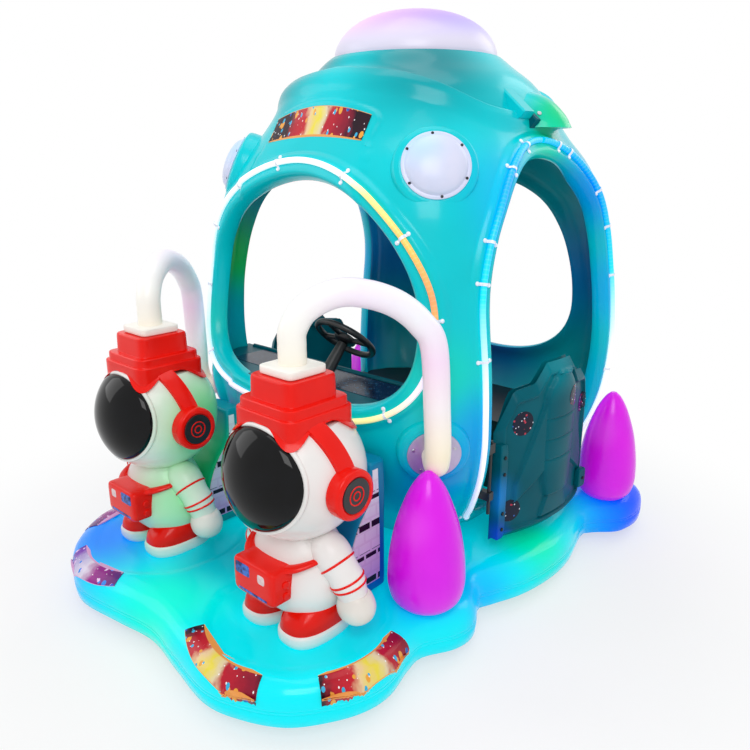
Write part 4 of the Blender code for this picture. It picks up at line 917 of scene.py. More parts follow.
def edge_distance(opening, across, h):
    """About how far a point lies outside an opening's edge: the oval's own measure, less 1,
    over its slope."""
    _, half, middle, up, down, n_up, n_down = OPENINGS[opening]
    above = h >= middle
    n, rise = np.where(above, n_up, n_down), np.where(above, up, down)
    u, v = np.abs(across) / half, np.abs(h - middle) / rise
    inner = np.maximum(u**n + v**n, 1e-9)
    measure = inner ** (1 / n)
    slope = inner ** (1 / n - 1) * np.hypot(u ** (n - 1) / half, v ** (n - 1) / rise)
    return (measure - 1) / np.maximum(slope, 1e-6)


RIDGE_TURNS = (0.0, 19.0, 33.0, 41.0, 49.0, 56.0, 66.0, 75.0, 90.0)  # degrees from the front
RIDGE_HEIGHTS = (1.857, 1.844, 1.827, 1.808, 1.782, 1.752, 1.716, 1.702, 1.700)
BROW_TOP, BROW_DROP = 1.745, 0.062  # middle of the brow's top edge, and how far its ends drop


def ridge_height(turn):
    """Height of the shoulder's crest above the deck at an azimuth."""
    from_front = np.abs((np.degrees(turn) - 270 + 180) % 360 - 180)
    return curve_through(np.minimum(from_front, 180 - from_front), RIDGE_TURNS, RIDGE_HEIGHTS)


def relief(turn, h):
    """How far the moulding stands out of the plain capsule: a collar round each opening, the
    brow panel with round corners, and a shoulder under the recessed neck."""
    out = np.zeros(np.broadcast(turn, h).shape)
    width, rise = sizes().collar_width, sizes().collar_rise
    for opening in OPENINGS:
        facing = np.cos(turn - math.radians(OPENINGS[opening][0]))
        d = edge_distance(opening, across_of(opening, turn, h), h)
        d = np.where(facing > 0.3, d, 1.0)
        outer = 1 - smooth_step(d, width - 0.022, width + 0.004)
        out += rise * outer * smooth_step(d, -0.02, 0.014)
    from_front = np.abs((np.degrees(turn) - 270 + 180) % 360 - 180)
    ridge = ridge_height(turn)
    up = h - ridge
    out += 0.016 * smooth_step(up, -0.085, -0.02) * (1 - smooth_step(up, -0.006, 0.010))
    out -= 0.014 * smooth_step(up, -0.002, 0.012) * (1 - smooth_step(h, ridge + 0.03, 1.915))
    half = 25.5 + 3.5 * np.clip((h - 1.593) / 0.087, 0, 1.3)
    top = BROW_TOP - (from_front / 29.0) ** 2 * BROW_DROP
    a = np.clip((from_front - half + 5.5) / 5.5, 0, None)
    b = np.clip((h - top + 0.035) / 0.035, 0, None)
    out += 0.010 * (1 - smooth_step(np.hypot(a, b), 0.84, 1.10))
    return out


def shell_point(turn, h, extra=0.0):
    """Plain capsule plus its relief along the normal."""
    turn, h = np.asarray(turn, float), np.asarray(h, float)
    return capsule_point(turn, h) + capsule_normal(turn, h) * (relief(turn, h) + extra)[..., None]


TURN_STEPS = 61


def sector_grid(opening):
    """One quarter of the capsule as rays from its opening's edge to the quarter's border: the
    point is (azimuth, height) = edge + (border - edge) times a share that grows outwards."""
    low, high = (math.radians(a) for a in SECTORS[opening])
    steps = 56
    heights, turns = np.linspace(0, CROWN_FOOT, steps), np.linspace(low, high, TURN_STEPS)
    turn_b = np.concatenate([turns[:-1], np.full(steps - 1, high), turns[:0:-1],
                             np.full(steps - 1, low)])
    h_b = np.concatenate([np.zeros(TURN_STEPS - 1), heights[:-1],
                          np.full(TURN_STEPS - 1, CROWN_FOOT), heights[:0:-1]])
    middle_turn, half, middle, up, down, _, _ = OPENINGS[opening]
    arc = (turn_b - math.radians(middle_turn)) * CAPSULE_HALF_WIDTH
    angle = np.arctan2((h_b - middle) / np.where(h_b >= middle, up, down), arc / half)
    across, h_e = oval_point(opening, angle)
    turn_e = azimuth_of(opening, across, h_e)
    length = np.linalg.norm(capsule_point(turn_b, h_b) - capsule_point(turn_e, h_e), axis=1)
    near = np.concatenate([[0], np.linspace(0.005, 0.050, 8), np.linspace(0.056, 0.084, 8)])
    inner = near[:, None] * np.minimum(1, 0.85 * length / near[-1]) / length
    far = inner[-1] + (1 - inner[-1]) * np.linspace(0, 1, 26)[1:, None]
    share = np.concatenate([inner, far])
    return turn_e + (turn_b - turn_e) * share, h_e + (h_b - h_e) * share, share * length


def capsule_body():
    """For each quarter: outer face, a rolled jamb whose bulge is sin^0.6 across its depth, and
    the inner face, where the wall thickens towards the opening; then the two level rims."""
    wall = sizes().wall
    parts, marks = [], []
    for opening in OPENINGS:
        turn, h, away = sector_grid(opening)
        outer = shell_point(turn, h)
        depth = wall + 0.030 * np.exp(-(away / 0.05) ** 2) * (1 - smooth_step(h, 1.45, 1.55))
        inner = capsule_point(turn, h) - capsule_normal(turn, h) * depth[..., None]
        t = np.linspace(0, 1, 9)[1:-1, None, None]
        hole = unit(outer[0] - outer[1])
        roll = outer[0] + (inner[0] - outer[0]) * t + hole * 0.010 * np.sin(math.pi * t) ** 0.6
        rings = np.concatenate([outer[::-1], roll, inner])
        parts.append((rings.reshape(-1, 3), net(len(rings), rings.shape[1])))
        marks.append(np.repeat(np.arange(len(rings) - 1) > len(outer) + 6, rings.shape[1]))
        low, high = (math.radians(a) for a in SECTORS[opening])
        turns = np.linspace(low, high, TURN_STEPS)
        for level in (0.0, CROWN_FOOT):
            strip = np.stack([shell_point(turns, np.full(TURN_STEPS, level)),
                              capsule_point(turns, level) - capsule_normal(turns, level) * wall])
            parts.append((strip.reshape(-1, 3), net(2, TURN_STEPS, wrap_columns=False)))
            marks.append(np.zeros(TURN_STEPS - 1))
    piece("capsule_body", joined(*parts), [turquoise_gelcoat, shaded_cabin_gelcoat],
          replaces=("capsule_front_shell", "capsule_rear_shell"), marks=np.concatenate(marks),
          crease=50)


def capsule_crown():
    """Rows of the crown follow the shoulder's crest: level at the foot, then spaced finely
    across the crest, then level again at the dome's foot."""
    turn = (TAU * np.arange(480) / 480)[None, :]
    ridge = ridge_height(turn)
    low, high = ridge - 0.030, ridge + 0.036
    rows = [CROWN_FOOT + (low - CROWN_FOOT) * t for t in np.linspace(0, 1, 34)]
    rows += [low + (high - low) * t for t in np.linspace(0, 1, 20)[1:]]
    rows += [high + (SHELL_TOP - high) * t for t in np.linspace(0, 1, 14)[1:]]
    h = np.concatenate(rows)
    turn = turn + 0 * h
    outer = shell_point(turn, h)
    few = np.r_[0:len(h):6, len(h) - 1]
    inner = capsule_point(turn[few], h[few]) - capsule_normal(turn[few], h[few]) * sizes().wall
    rings = np.concatenate([outer, inner[::-1]])
    marks = np.repeat(np.arange(len(rings)) >= len(outer), rings.shape[1])
    piece("capsule_crown", ring_tube(rings), [turquoise_gelcoat, shaded_cabin_gelcoat],
          replaces="roof_cap", marks=marks, crease=50)


def hood():
    """A straight rib from the dome's foot to the shoulder with a dark teal strip behind it,
    which stands in for the rib's shaded side as painted shade, and a scoop over the doorway
    whose crest line is a smooth curve and whose plan is 1 - |v|^2.4."""
    t = np.linspace(0, 1, 14)[:, None]
    head, bevel = (0.385, 2.095, 0.06), 0.006
    for label, y_low, y_high, back, make, foot in (
            ("rib", 0.225, 0.298, 0.0, turquoise_gelcoat, (0.602, 1.910, 0.040)),
            # the strip's dark teal stands in for the rib's shaded side: painted shade
            ("rib_shade_strip", 0.299, 0.334, 0.010, deep_teal_gelcoat, (0.620, 1.893, 0.050))):
        x, z, deep = (start + (end - start) * t for start, end in zip(head, foot))
        flat, cut = 0 * deep, 0 * deep - bevel
        down = np.concatenate([flat, cut, -deep, -deep, cut, flat], axis=1)
        down = down * np.minimum(1.0, 0.82 + 4 * np.minimum(t, 1 - t))
        y = np.array((y_low + bevel, y_low, y_low, y_high, y_high, y_high - bevel))
        rings = grid(x - back + 0.66 * down, y, z - back + 0.75 * down)
        pair(f"hood_{label}", skin(rings), make, "turquoise_gelcoat", crease=30)
    u = np.linspace(0, 1, 26)[:, None]
    v = np.linspace(-1, 1, 41)[None, :]
    crest = curve_through(u, (0, 0.35, 0.65, 0.85, 1.0), (0.672, 0.640, 0.585, 0.535, 0.49))
    z = curve_through(u, (0, 0.35, 0.65, 0.85, 1.0), (1.856, 1.905, 1.955, 1.982, 1.995))
    half = 0.145 * (1 - 0.55 * u**2)
    reach = 1 - np.abs(v) ** 2.4
    foot = 0.50 - 0.05 * u
    outer = grid(foot + (crest - foot) * reach, 0.435 + half * v, z)
    inner = grid(foot - 0.03, 0.435 + half * v, z)
    pair("hood_scoop", slab(outer, inner), turquoise_gelcoat, crease=40)
    head = turned(rounded_rim(0.009, 0, 0.006, 0.0025), 20)
    heads = [aimed_skin(head, place, (0.6, -0.5, 0.6))
             for place in ((0.588, 0.352, 1.905), (0.600, 0.362, 1.893))]
    pair("hood_screws", joined(*heads), zinc_screw, "zinc_steel")


def roof_dome():
    """Low dome: radius R cos^0.9 and rise H sin^1.05 of one angle, with a fuller foot, and a
    small sunk button low on the front."""
    low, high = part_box("roof_dome")
    a = np.linspace(0, math.pi / 2, 34)
    radius, rise = (high.x - low.x) / 2, high.z - low.z
    profile = [(radius - 0.014, -0.004), (radius - 0.001, 0.0)]
    profile += [(radius * math.cos(t) ** 0.86, rise * math.sin(t) ** 1.04) for t in a[1:-1]]
    rings = turned(profile, 120) + np.array((0, CAPSULE_Y, low.z))
    button_at = (0.125, CAPSULE_Y - 0.215, low.z + 0.118)
    axis = (0.38, -0.62, 0.70)
    button = turned(((0.015, -0.004), (0.0165, 0.003), (0.013, 0.006), (0.009, 0.004),
                     (0.004, 0.0035)), 28)
    slot = moved(block((0.0016, 0.006, 0.004)), (0, 0, 0.003))
    piece("roof_dome_opal", skin(rings), opal_dome, "opal_diffuser", replaces="roof_dome")
    piece("dome_button", aimed_skin(button, button_at, axis), opal_dome, "opal_diffuser")
    piece("dome_button_slot", aimed(slot, button_at, axis), black_screw, "black_plastic")


def brow_film():
    """Curved sheet on the brow: its edges are parabolas in (azimuth, height)."""
    t = np.linspace(-1, 1, 81)[None, :]
    v = np.linspace(0, 1, 17)[:, None]
    degrees = t * (23.0 + 2.0 * v)
    low, high = 1.610 - 0.024 * t**2, 1.718 - 0.043 * t**2
    h = low + (high - low) * v
    turn = np.radians(270 + degrees)
    lay = grid(0.28 * t, (v - 0.5) * 0.066)
    piece("brow_film", slab(shell_point(turn, h, 0.0030), shell_point(turn, h, 0.0002)), warm_film,
          "turquoise_gelcoat", lay=slab_lay(lay), crease=60)


def corner_place(h):
    """Point and outward direction on the capsule's front right corner at a height."""
    step = 0.02
    side, lower, upper = (capsule_half(k) * 2 ** (-1 / capsule_power(k))
                          for k in (h, h - step, h + step))
    slope = (upper - lower) * math.sqrt(2) / (2 * step)
    out = unit(np.array((math.sqrt(0.5), -math.sqrt(0.5), -slope)))
    return np.array((float(side), CAPSULE_Y - float(side), DECK_Z + h)), out


def lamp_place():
    """The lamp looks a little lower than the shell under it."""
    place, out = corner_place(LAMP_H - 0.006)
    return place, unit(out * (1, 1, 0.62))


def corner_fittings():
    """Turned pads, the lamp's flat rim and elliptic lens, and six screws on its rim."""
    for label, h, radius in (("lamp", LAMP_H, 0.118), ("flange", FLANGE_H, 0.102)):
        place, out = lamp_place() if label == "lamp" else corner_place(h)
        profile = ((radius + 0.036, -0.060), (radius + 0.030, -0.004), (radius + 0.016, 0.008),
                   (radius + 0.004, 0.0115), (radius - 0.02, 0.0118), (0.02, 0.0118))
        pad = aimed_skin(turned(profile, 72, smooth=4), place, out)
        pair(f"{label}_pad", pad, turquoise_gelcoat)
    place, out = lamp_place()
    place = place + out * 0.0122
    a = np.linspace(0, math.pi / 2, 18)[:-1]
    profile = [(0.117, 0.0), (0.120, 0.0015), (0.120, 0.0045), (0.118, 0.006), (0.108, 0.0065)]
    profile += [(0.106 * math.cos(t), 0.008 + 0.040 * math.sin(t)) for t in a[1:]]
    lens = aimed_skin(turned(profile, 96), place, out)
    pair("corner_lamp_opal", lens, opal_lamp, "opal_diffuser", replaces="corner_lamp")
    screws = screw_ring(rounded_rim(0.0052, 0, 0.003, 0.0015), 0.1125, 0.0058,
                        (95, 38, -25, -82, 215, 150), place, out, 14)
    pair("lamp_screws", screws, black_screw, "black_plastic")


# ---------------- base
def cloud_line(count=360):
    """Evenly spaced points of the outline: a closed curve through the right half and its mirror
    image, whose front lobe is a little wider on the left."""
    right = CLOUD * np.array(BASE_HALF_SIZES)
    left = right[-2:0:-1] * (-1, 1)
    left[:, 0] *= 1 + 0.055 * np.exp(-((left[:, 1] + 0.85) / 0.26) ** 2)
    return evenly(spline(np.concatenate([right, left]), 12, closed=True), count, closed=True) * 0.998


def inset(line, depth):
    """The line moved inwards along its own normals."""
    along = unit(np.roll(line, -1, axis=0) - np.roll(line, 1, axis=0))
    inwards = grid(-along[:, 1], along[:, 0])
    return line + inwards * depth


SHOULDER = np.array((  # distance inwards from the outline, and height over the skirt's foot
    (0.0, 0.070), (0.003, 0.090), (0.009, 0.106), (0.020, 0.121), (0.036, 0.133), (0.058, 0.142),
    (0.082, 0.1475), (0.105, 0.150)))


def deck_height(x, y):
    """Height of the deck: the shoulder's curve over the distance to the outline, less a shallow
    round dish under each figure."""
    line = cloud_line(1800)
    spots = grid(np.ravel(x), np.ravel(y))
    near = np.concatenate([np.sqrt(((part[:, None] - line[None]) ** 2).sum(-1)).min(1)
                           for part in np.array_split(spots, 200)]).reshape(np.shape(x))
    z = SKIRT_FOOT_Z + np.interp(near, SHOULDER[:, 0], SHOULDER[:, 1])
    for side in (1, -1):
        r = np.hypot(x - side * FIGURE_X, y - FIGURE_Y)
        z = z - 0.009 * (1 - smooth_step(r, sizes().dish_radius - 0.012, sizes().dish_radius))
    return z


def cloud_base():
    """The skirt's profile with two fine grooves carried round the outline, a deck of rings that
    shrink to the middle, and a lining under them; the rod's hatch is left out of both."""
    line = cloud_line()
    skirt = ((0.014, 0.0), (0.008, 0.001), (0.003, 0.006), (0.0, 0.030), (0.0, 0.048),
             (0.0022, 0.050), (0.0022, 0.052), (0.0, 0.054), (0.0, 0.060), (0.0020, 0.062),
             (0.0020, 0.064), (0.0, 0.066))
    rings = [np.column_stack([inset(line, d), np.full(len(line), SKIRT_FOOT_Z + z)])
             for d, z in (*skirt, *SHOULDER[:-1])]
    edge = inset(line, SHOULDER[-1, 0])
    deck = edge[None] * np.linspace(1.0, 0.01, 70)[:, None, None]
    deck = np.concatenate([deck, deck_height(deck[..., 0], deck[..., 1])[..., None]], axis=-1)
    outer = np.concatenate([np.array(rings), deck])
    inner = outer.copy()
    shrink = 1 - 0.010 / np.maximum(np.linalg.norm(outer[..., :2], axis=-1, keepdims=True), 0.02)
    inner[..., :2] = outer[..., :2] * np.maximum(shrink, 0.5)
    inner[..., 2] = np.maximum(outer[..., 2] - 0.011, SKIRT_FOOT_Z)
    inner[0, :, 2] = SKIRT_FOOT_Z
    rows, columns = outer.shape[:2]
    following = np.roll(outer, -1, 1)
    middle = (outer[:-1] + outer[1:] + following[:-1] + following[1:]) * 0.25
    x, y = middle[..., 0], middle[..., 1]
    x0, x1, y0, y1 = HATCH
    kept = ~((x > x0) & (x < x1) & (y > y0) & (y < y1))
    quads = net(rows, columns).reshape(rows - 1, columns, 4)
    under = quads[..., ::-1] + rows * columns
    i, j = np.nonzero(kept[1:] != kept[:-1])
    cross = grid((i + 1) * columns + j, (i + 1) * columns + (j + 1) % columns)
    i, j = np.nonzero(kept != np.roll(kept, -1, 1))
    down = grid(i * columns + (j + 1) % columns, (i + 1) * columns + (j + 1) % columns)
    rim = grid(np.arange(columns), (np.arange(columns) + 1) % columns)
    middle_rim = rim + (rows - 1) * columns
    edges = np.concatenate([cross, down, rim])
    walls = np.concatenate([edges, edges[:, ::-1] + rows * columns], axis=1)
    poles = np.array([[0, 0, outer[-1, 0, 2]], [0, 0, inner[-1, 0, 2]]])
    first = 2 * rows * columns
    none = np.full((columns, 1), -1)
    fans = [np.concatenate([none * 0 + first + k, middle_rim + k * rows * columns, none], axis=1)
            for k in (0, 1)]
    points = np.concatenate([outer.reshape(-1, 3), inner.reshape(-1, 3), poles])
    faces = np.concatenate([quads[kept], under[kept], walls, *fans])
    piece("cloud_base_skin", (points, faces), lit_blue_gelcoat, replaces="base_shell", crease=50)


def base_films():
    """Curved sheets on the dish rims: arcs about a figure, lying on the deck's own height."""
    inner = sizes().dish_radius + 0.008
    half = sizes().sticker_width / 2
    for name, sign, start, end, make in (("base_film_1", 1, 236, 297, warm_film),
                                         ("base_film_2", 1, -33, 24, warm_film),
                                         ("base_film_3", -1, 241, 297, cool_film),
                                         ("base_film_4", -1, 156, 213, cool_film)):
        turn = np.radians(np.linspace(start, end, 61))[None, :]
        v = np.linspace(-half, half, 15)[:, None]
        r = inner + half + v
        x, y = sign * FIGURE_X + r * np.cos(turn), FIGURE_Y + r * np.sin(turn)
        z = deck_height(x, y)
        run = (turn - turn.mean()) * (inner + half)
        lay = grid(run, v)
        piece(name, slab(grid(x, y, z + 0.003), grid(x, y, z - 0.003)), make, "lit_blue_gelcoat",
              lay=slab_lay(lay), crease=60)


# ---------------- figures
def stack(stations, power=2.3, around=48, steps=8):
    """Superellipse rings: centre x and y, height and two half widths are smooth curves through
    the stations."""
    s = np.asarray(stations, float)
    t, fine = np.arange(len(s)), np.linspace(0, len(s) - 1, (len(s) - 1) * steps + 1)
    c = np.stack([curve_through(fine, t, s[:, k]) for k in range(5)], axis=1)[:, :, None]
    angle = TAU * np.arange(around) / around
    cos, sin = np.cos(angle), np.sin(angle)
    e = 2 / power
    x = c[:, 0] + c[:, 3] * np.sign(cos) * np.abs(cos) ** e
    y = c[:, 1] + c[:, 4] * np.sign(sin) * np.abs(sin) ** e
    return grid(x, y, c[:, 2])


def stood(surface):
    """From a figure's own place, x outwards and z above the deck, to its place in the ride."""
    return moved(surface, (FIGURE_X, FIGURE_Y, DECK_Z))


def figure_suits():
    """Torso, trousers and arms are superellipse rings on smooth centre lines; the hands are
    balls, x = r cos u, and the trim is tubes and flat bands on the same lines."""
    torso = skin(stack(((0, 0, 0.070, 0.130, 0.095), (0, 0, 0.085, 0.160, 0.120),
                        (0, 0, 0.155, 0.186, 0.145), (0, 0, 0.230, 0.180, 0.140),
                        (0, 0, 0.300, 0.150, 0.122), (0, 0, 0.350, 0.112, 0.100),
                        (0, 0, 0.385, 0.100, 0.090)), power=2.4, around=64))
    legs, boots, soles = [], [], []
    for x in (-0.095, 0.095):
        legs.append(skin(stack(((x, 0, 0.096, 0.070, 0.095), (x, 0, 0.125, 0.074, 0.105),
                                (x, 0, 0.170, 0.070, 0.100)), power=2.5)))
        boots.append(skin(stack(((x, -0.016, 0.030, 0.082, 0.128), (x, -0.016, 0.036, 0.085, 0.133),
                                 (x, -0.014, 0.066, 0.084, 0.126), (x, -0.004, 0.096, 0.078, 0.108),
                                 (x, 0.0, 0.108, 0.070, 0.096)), power=2.5, around=56)))
        soles.append(skin(stack(((x, -0.016, -0.014, 0.084, 0.131), (x, -0.016, 0.003, 0.091, 0.139),
                                 (x, -0.016, 0.026, 0.091, 0.139), (x, -0.016, 0.036, 0.086, 0.133)),
                                power=2.6, around=56)))
    arms, trim, hands = [], [], []
    for way in (-1, 1):
        line = spline(np.array(((0.095, 0.0, 0.318), (0.150, 0.002, 0.298), (0.194, 0.008, 0.252),
                                (0.220, 0.018, 0.205), (0.234, 0.026, 0.160))) * (way, 1, 1), 10)
        t = np.linspace(0, 1, len(line))
        radius = curve_through(t, (0, 0.25, 0.45, 0.52, 0.72, 0.9, 1.0),
                               (0.050, 0.066, 0.061, 0.058, 0.059, 0.052, 0.050))
        arms.append(skin(tube(line, radius, 36)))
        along, _, _ = path_frames(line)
        for share, thick in ((0.42, 0.0045), (0.70, 0.0045), (0.80, 0.0045)):
            i = round(share * (len(line) - 1))
            trim.append(hoop(radius[i] - 0.001, thick, line[i], along[i], 40, 8))
        ball = skin(stack(((0, 0, -0.066, 0.006, 0.006), (0, 0, -0.058, 0.034, 0.032),
                           (0, 0, -0.036, 0.058, 0.054), (0, 0, 0.0, 0.067, 0.062),
                           (0, 0, 0.036, 0.056, 0.052), (0, 0, 0.050, 0.044, 0.042)), power=2.1))
        hands.append(moved(ball, (way * 0.243, 0.030, 0.124)))
        strap = spline(((way * 0.080, -0.140, 0.262), (way * 0.118, -0.110, 0.272),
                        (way * 0.146, -0.062, 0.284), (way * 0.152, -0.010, 0.292)), 8)
        thick = np.linspace(0.024, 0.014, len(strap))
        trim.append(skin(tube(strap, thick, 18, flat=0.55)))
    white = joined(torso, *legs, *arms)
    pair("suit", stood(white), white_gelcoat, replaces="astronaut_body")
    pair("suit_hands", stood(joined(*hands)), white_hand_gelcoat, "white_gelcoat")
    pair("suit_soles", stood(joined(*soles)), white_gelcoat)
    pair("suit_boots", stood(joined(*boots)), red_gelcoat)
    pair("suit_trim", stood(joined(*trim)), red_gelcoat)


def helmets():
    """Ball of radius R cut level at neck and crown; the visor is the ball of radius R + 8 mm
    inside an ellipse seen from the front, with a round lip along that ellipse."""
    a = np.linspace(math.asin((NECK_H - HELMET_H) / HELMET_RADIUS),
                    math.asin((CROWN_H - HELMET_H) / HELMET_RADIUS), 44)
    profile = [(HELMET_RADIUS * math.cos(t), HELMET_H + HELMET_RADIUS * math.sin(t)) for t in a]
    pair("helmet_ball", stood(skin(turned(profile, 96))), white_gelcoat, replaces="helmet")
    angle = (TAU * np.arange(96) / 96)[None, :]
    share = np.concatenate([np.linspace(0.03, 0.97, 22), (1.0, 1.0)])[:, None]
    reach = HELMET_RADIUS + np.concatenate([np.full(22, 0.009), (0.005, -0.012)])[:, None]
    x, z = 0.192 * share * np.cos(angle), 0.018 + 0.166 * share * np.sin(angle)
    y = -np.sqrt(reach**2 - x**2 - z**2)
    glass = skin(grid(x, y, HELMET_H + z))
    pair("visor_shell", stood(glass), visor_acrylic, "black_gloss", replaces="visor")
    t = TAU * np.arange(120) / 120
    x, z = 0.195 * np.cos(t), 0.018 + 0.169 * np.sin(t)
    line = grid(x, -np.sqrt((HELMET_RADIUS + 0.001) ** 2 - x**2 - z**2), HELMET_H + z)
    pair("visor_lip", stood(ring_tube(tube(line, 0.0085, 14, closed=True))), white_gelcoat)


def caps():
    """Hem on the ball, h = 0.746 - 0.058 |sin 2a|^5, up to where the square wall meets the
    ball, then stepped tiers whose plan is |x|^8 + |y|^8 = 1."""
    a = TAU * np.arange(128) / 128
    plan = (np.abs(np.cos(a)) ** 8 + np.abs(np.sin(a)) ** 8) ** (-1 / 8)
    ball = HELMET_RADIUS + 0.010
    hem = 0.746 - 0.058 * np.abs(np.sin(2 * a)) ** 5
    meet = HELMET_H + np.sqrt(ball**2 - (CAP_HALF * plan) ** 2)
    radii = [np.sqrt((ball - 0.016) ** 2 - (hem - HELMET_H) ** 2)]
    heights = [hem + 0.001]
    for t in (0.0, 0.04, *np.linspace(0.1, 1, 10)):
        h = hem + (meet - hem) * t
        reach = ball - (0.005 if t == 0 else 0)
        radii.append(np.sqrt(reach**2 - (h - HELMET_H) ** 2))
        heights.append(h)
    top = CROWN_H + CAP_HEIGHT
    tiers = ((1.0, 0.768), (0.995, 0.773), (0.975, 0.776), (0.935, 0.777), (0.925, 0.780),
             (0.925, 0.798), (0.92, 0.803), (0.90, 0.806), (0.745, 0.807), (0.735, 0.810),
             (0.725, top - 0.012), (0.715, top - 0.004), (0.69, top), (0.30, top))
    for share, h in tiers:
        radii.append(CAP_HALF * share * plan)
        heights.append(np.maximum(h, meet + 0.0002) if h < 0.77 else np.full(len(a), h))
    r, z = np.array(radii), np.array(heights)
    rings = grid(r * np.cos(a), r * np.sin(a), z)
    pair("cap_tiers", stood(skin(rings)), red_gelcoat, replaces="cap", crease=32)


def earphones():
    """Turned cups with plain concentric rings and a dark disc, and a band on the ball from each
    cup up to the cap."""
    bands = []
    for label, way in (("outer", 1), ("inner", -1)):
        low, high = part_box(f"earphone_{label}_right")
        deep = high.x - low.x
        r = (high.z - low.z) / 2
        face = max(abs(low.x - FIGURE_X), abs(high.x - FIGURE_X))
        place = (way * face, (low.y + high.y) / 2 - FIGURE_Y, (low.z + high.z) / 2 - DECK_Z)
        profile = ((r - 0.006, -deep), (r - 0.001, -deep + 0.004), (r, -deep * 0.6), (r, -0.014),
                   (r - 0.003, -0.006), (r - 0.010, -0.002), (r - 0.019, -0.001), (r - 0.023, -0.005),
                   (r - 0.030, -0.006), (0.01, -0.006))
        cup = aimed_skin(turned(profile, 72, smooth=4), place, (way, 0, 0))
        pair(f"ear_cup_{label}", stood(cup), red_gelcoat, replaces=f"earphone_{label}")
        disc = aimed_skin(turned(rounded_rim(0.058, -0.006, -0.001, 0.002), 56), place, (way, 0, 0))
        pair(f"ear_disc_{label}", stood(disc), black_plastic)
        rings = [hoop(r, 0.0022, np.array(place) - (way * 0.001, 0, 0), (way, 0, 0), 56, 8)
                 for r in (0.014, 0.030)]
        pair(f"ear_rings_{label}", stood(joined(*rings)), red_gelcoat)
        t = np.linspace(0, 1, 24)[:, None]
        lift = np.radians(15 + 43 * t)
        v = np.linspace(-0.034, 0.034, 9)[None, :]
        grids = []
        for reach in (HELMET_RADIUS + 0.013, HELMET_RADIUS - 0.004):
            y = -0.045 * t + v
            z = reach * np.sin(lift) + 0 * v
            x = way * np.sqrt(np.maximum(reach**2 - y**2 - z**2, 1e-6))
            grids.append(grid(x, y, HELMET_H + z))
        bands.append(slab(*grids))
    pair("ear_bands", stood(joined(*bands)), red_gelcoat, crease=50)


def packs():
    """Chest pack: superellipsoid box with a screen, a badge, a blue line and side knobs.
    Backpack: superellipse rings whose front follows the helmet, with printed side sheets."""
    box = moved(block((0.104, 0.048, 0.064), 8.0, 64, 32), (0, -0.157, 0.215))
    pair("chest_pack_box", stood(box), red_gelcoat, replaces="chest_pack")
    screen = moved(block((0.036, 0.0025, 0.021), 8.0), (-0.048, -0.2035, 0.244))
    pair("chest_screen", stood(screen), screen_blue, "black_gloss")
    badge = moved(block((0.018, 0.0025, 0.017), 4.0), (0.046, -0.2035, 0.240))
    pair("chest_badge", stood(badge), badge_white, "white_gelcoat")
    line = moved(block((0.072, 0.0025, 0.0045), 8.0), (0, -0.2035, 0.170))
    pair("chest_line", stood(line), screen_blue, "black_gloss")
    knob = turned(rounded_rim(0.014, 0, 0.012, 0.004), 28)
    knobs = [aimed_skin(knob, (way * 0.098, -0.150, h), (way, 0, 0))
             for way in (-1, 1) for h in (0.182, 0.222)]
    pair("chest_knobs", stood(joined(*knobs)), red_gelcoat)
    rear = 0.344
    stations = [(0, (front + rear) / 2, h, half, (rear - front) / 2) for h, front, half in (
        (0.001, 0.160, 0.092), (0.010, 0.148, 0.099), (0.10, 0.147, 0.099), (0.20, 0.150, 0.098),
        (0.30, 0.200, 0.096), (0.36, 0.250, 0.094), (0.44, 0.266, 0.090), (0.488, 0.268, 0.087),
        (0.499, 0.276, 0.080))]
    pair("backpack_case", stood(skin(stack(stations, power=9, around=72))), cabinet_gelcoat,
         "deep_teal_gelcoat", replaces="backpack")
    h = np.linspace(0.035, 0.475, 24)[:, None]
    front = curve_through(h, (0.0, 0.20, 0.30, 0.36, 0.44, 0.50),
                          (0.147, 0.150, 0.200, 0.250, 0.266, 0.268))
    half = curve_through(h, (0.0, 0.10, 0.20, 0.30, 0.36, 0.44, 0.50),
                         (0.099, 0.099, 0.098, 0.096, 0.094, 0.090, 0.087))
    v = np.linspace(0, 1, 9)[None, :]
    y = front + 0.010 + (rear - 0.040 - front - 0.010) * v
    lay = slab_lay(grid(y, h - 0.035))
    for way, label in ((1, "outer"), (-1, "inner")):
        x = half + 0 * y
        sheet = slab(grid(way * np.minimum(x + 0.0012, 0.0998), y, h),
                     grid(way * (x - 0.003), y, h))
        pair(f"backpack_print_{label}", stood(sheet), cabinet_print, "deep_teal_gelcoat", lay=lay,
             crease=60)


# ---------------- lights
def tube_numbers(line, sides):
    """Per point of an open tube: its share of the tube's length, and its run in metres."""
    run = run_of(line)
    return {"along": np.concatenate([np.repeat(run / run[-1], sides), (0, 1)]),
            "run": np.concatenate([np.repeat(run, sides), (0, run[-1])])}


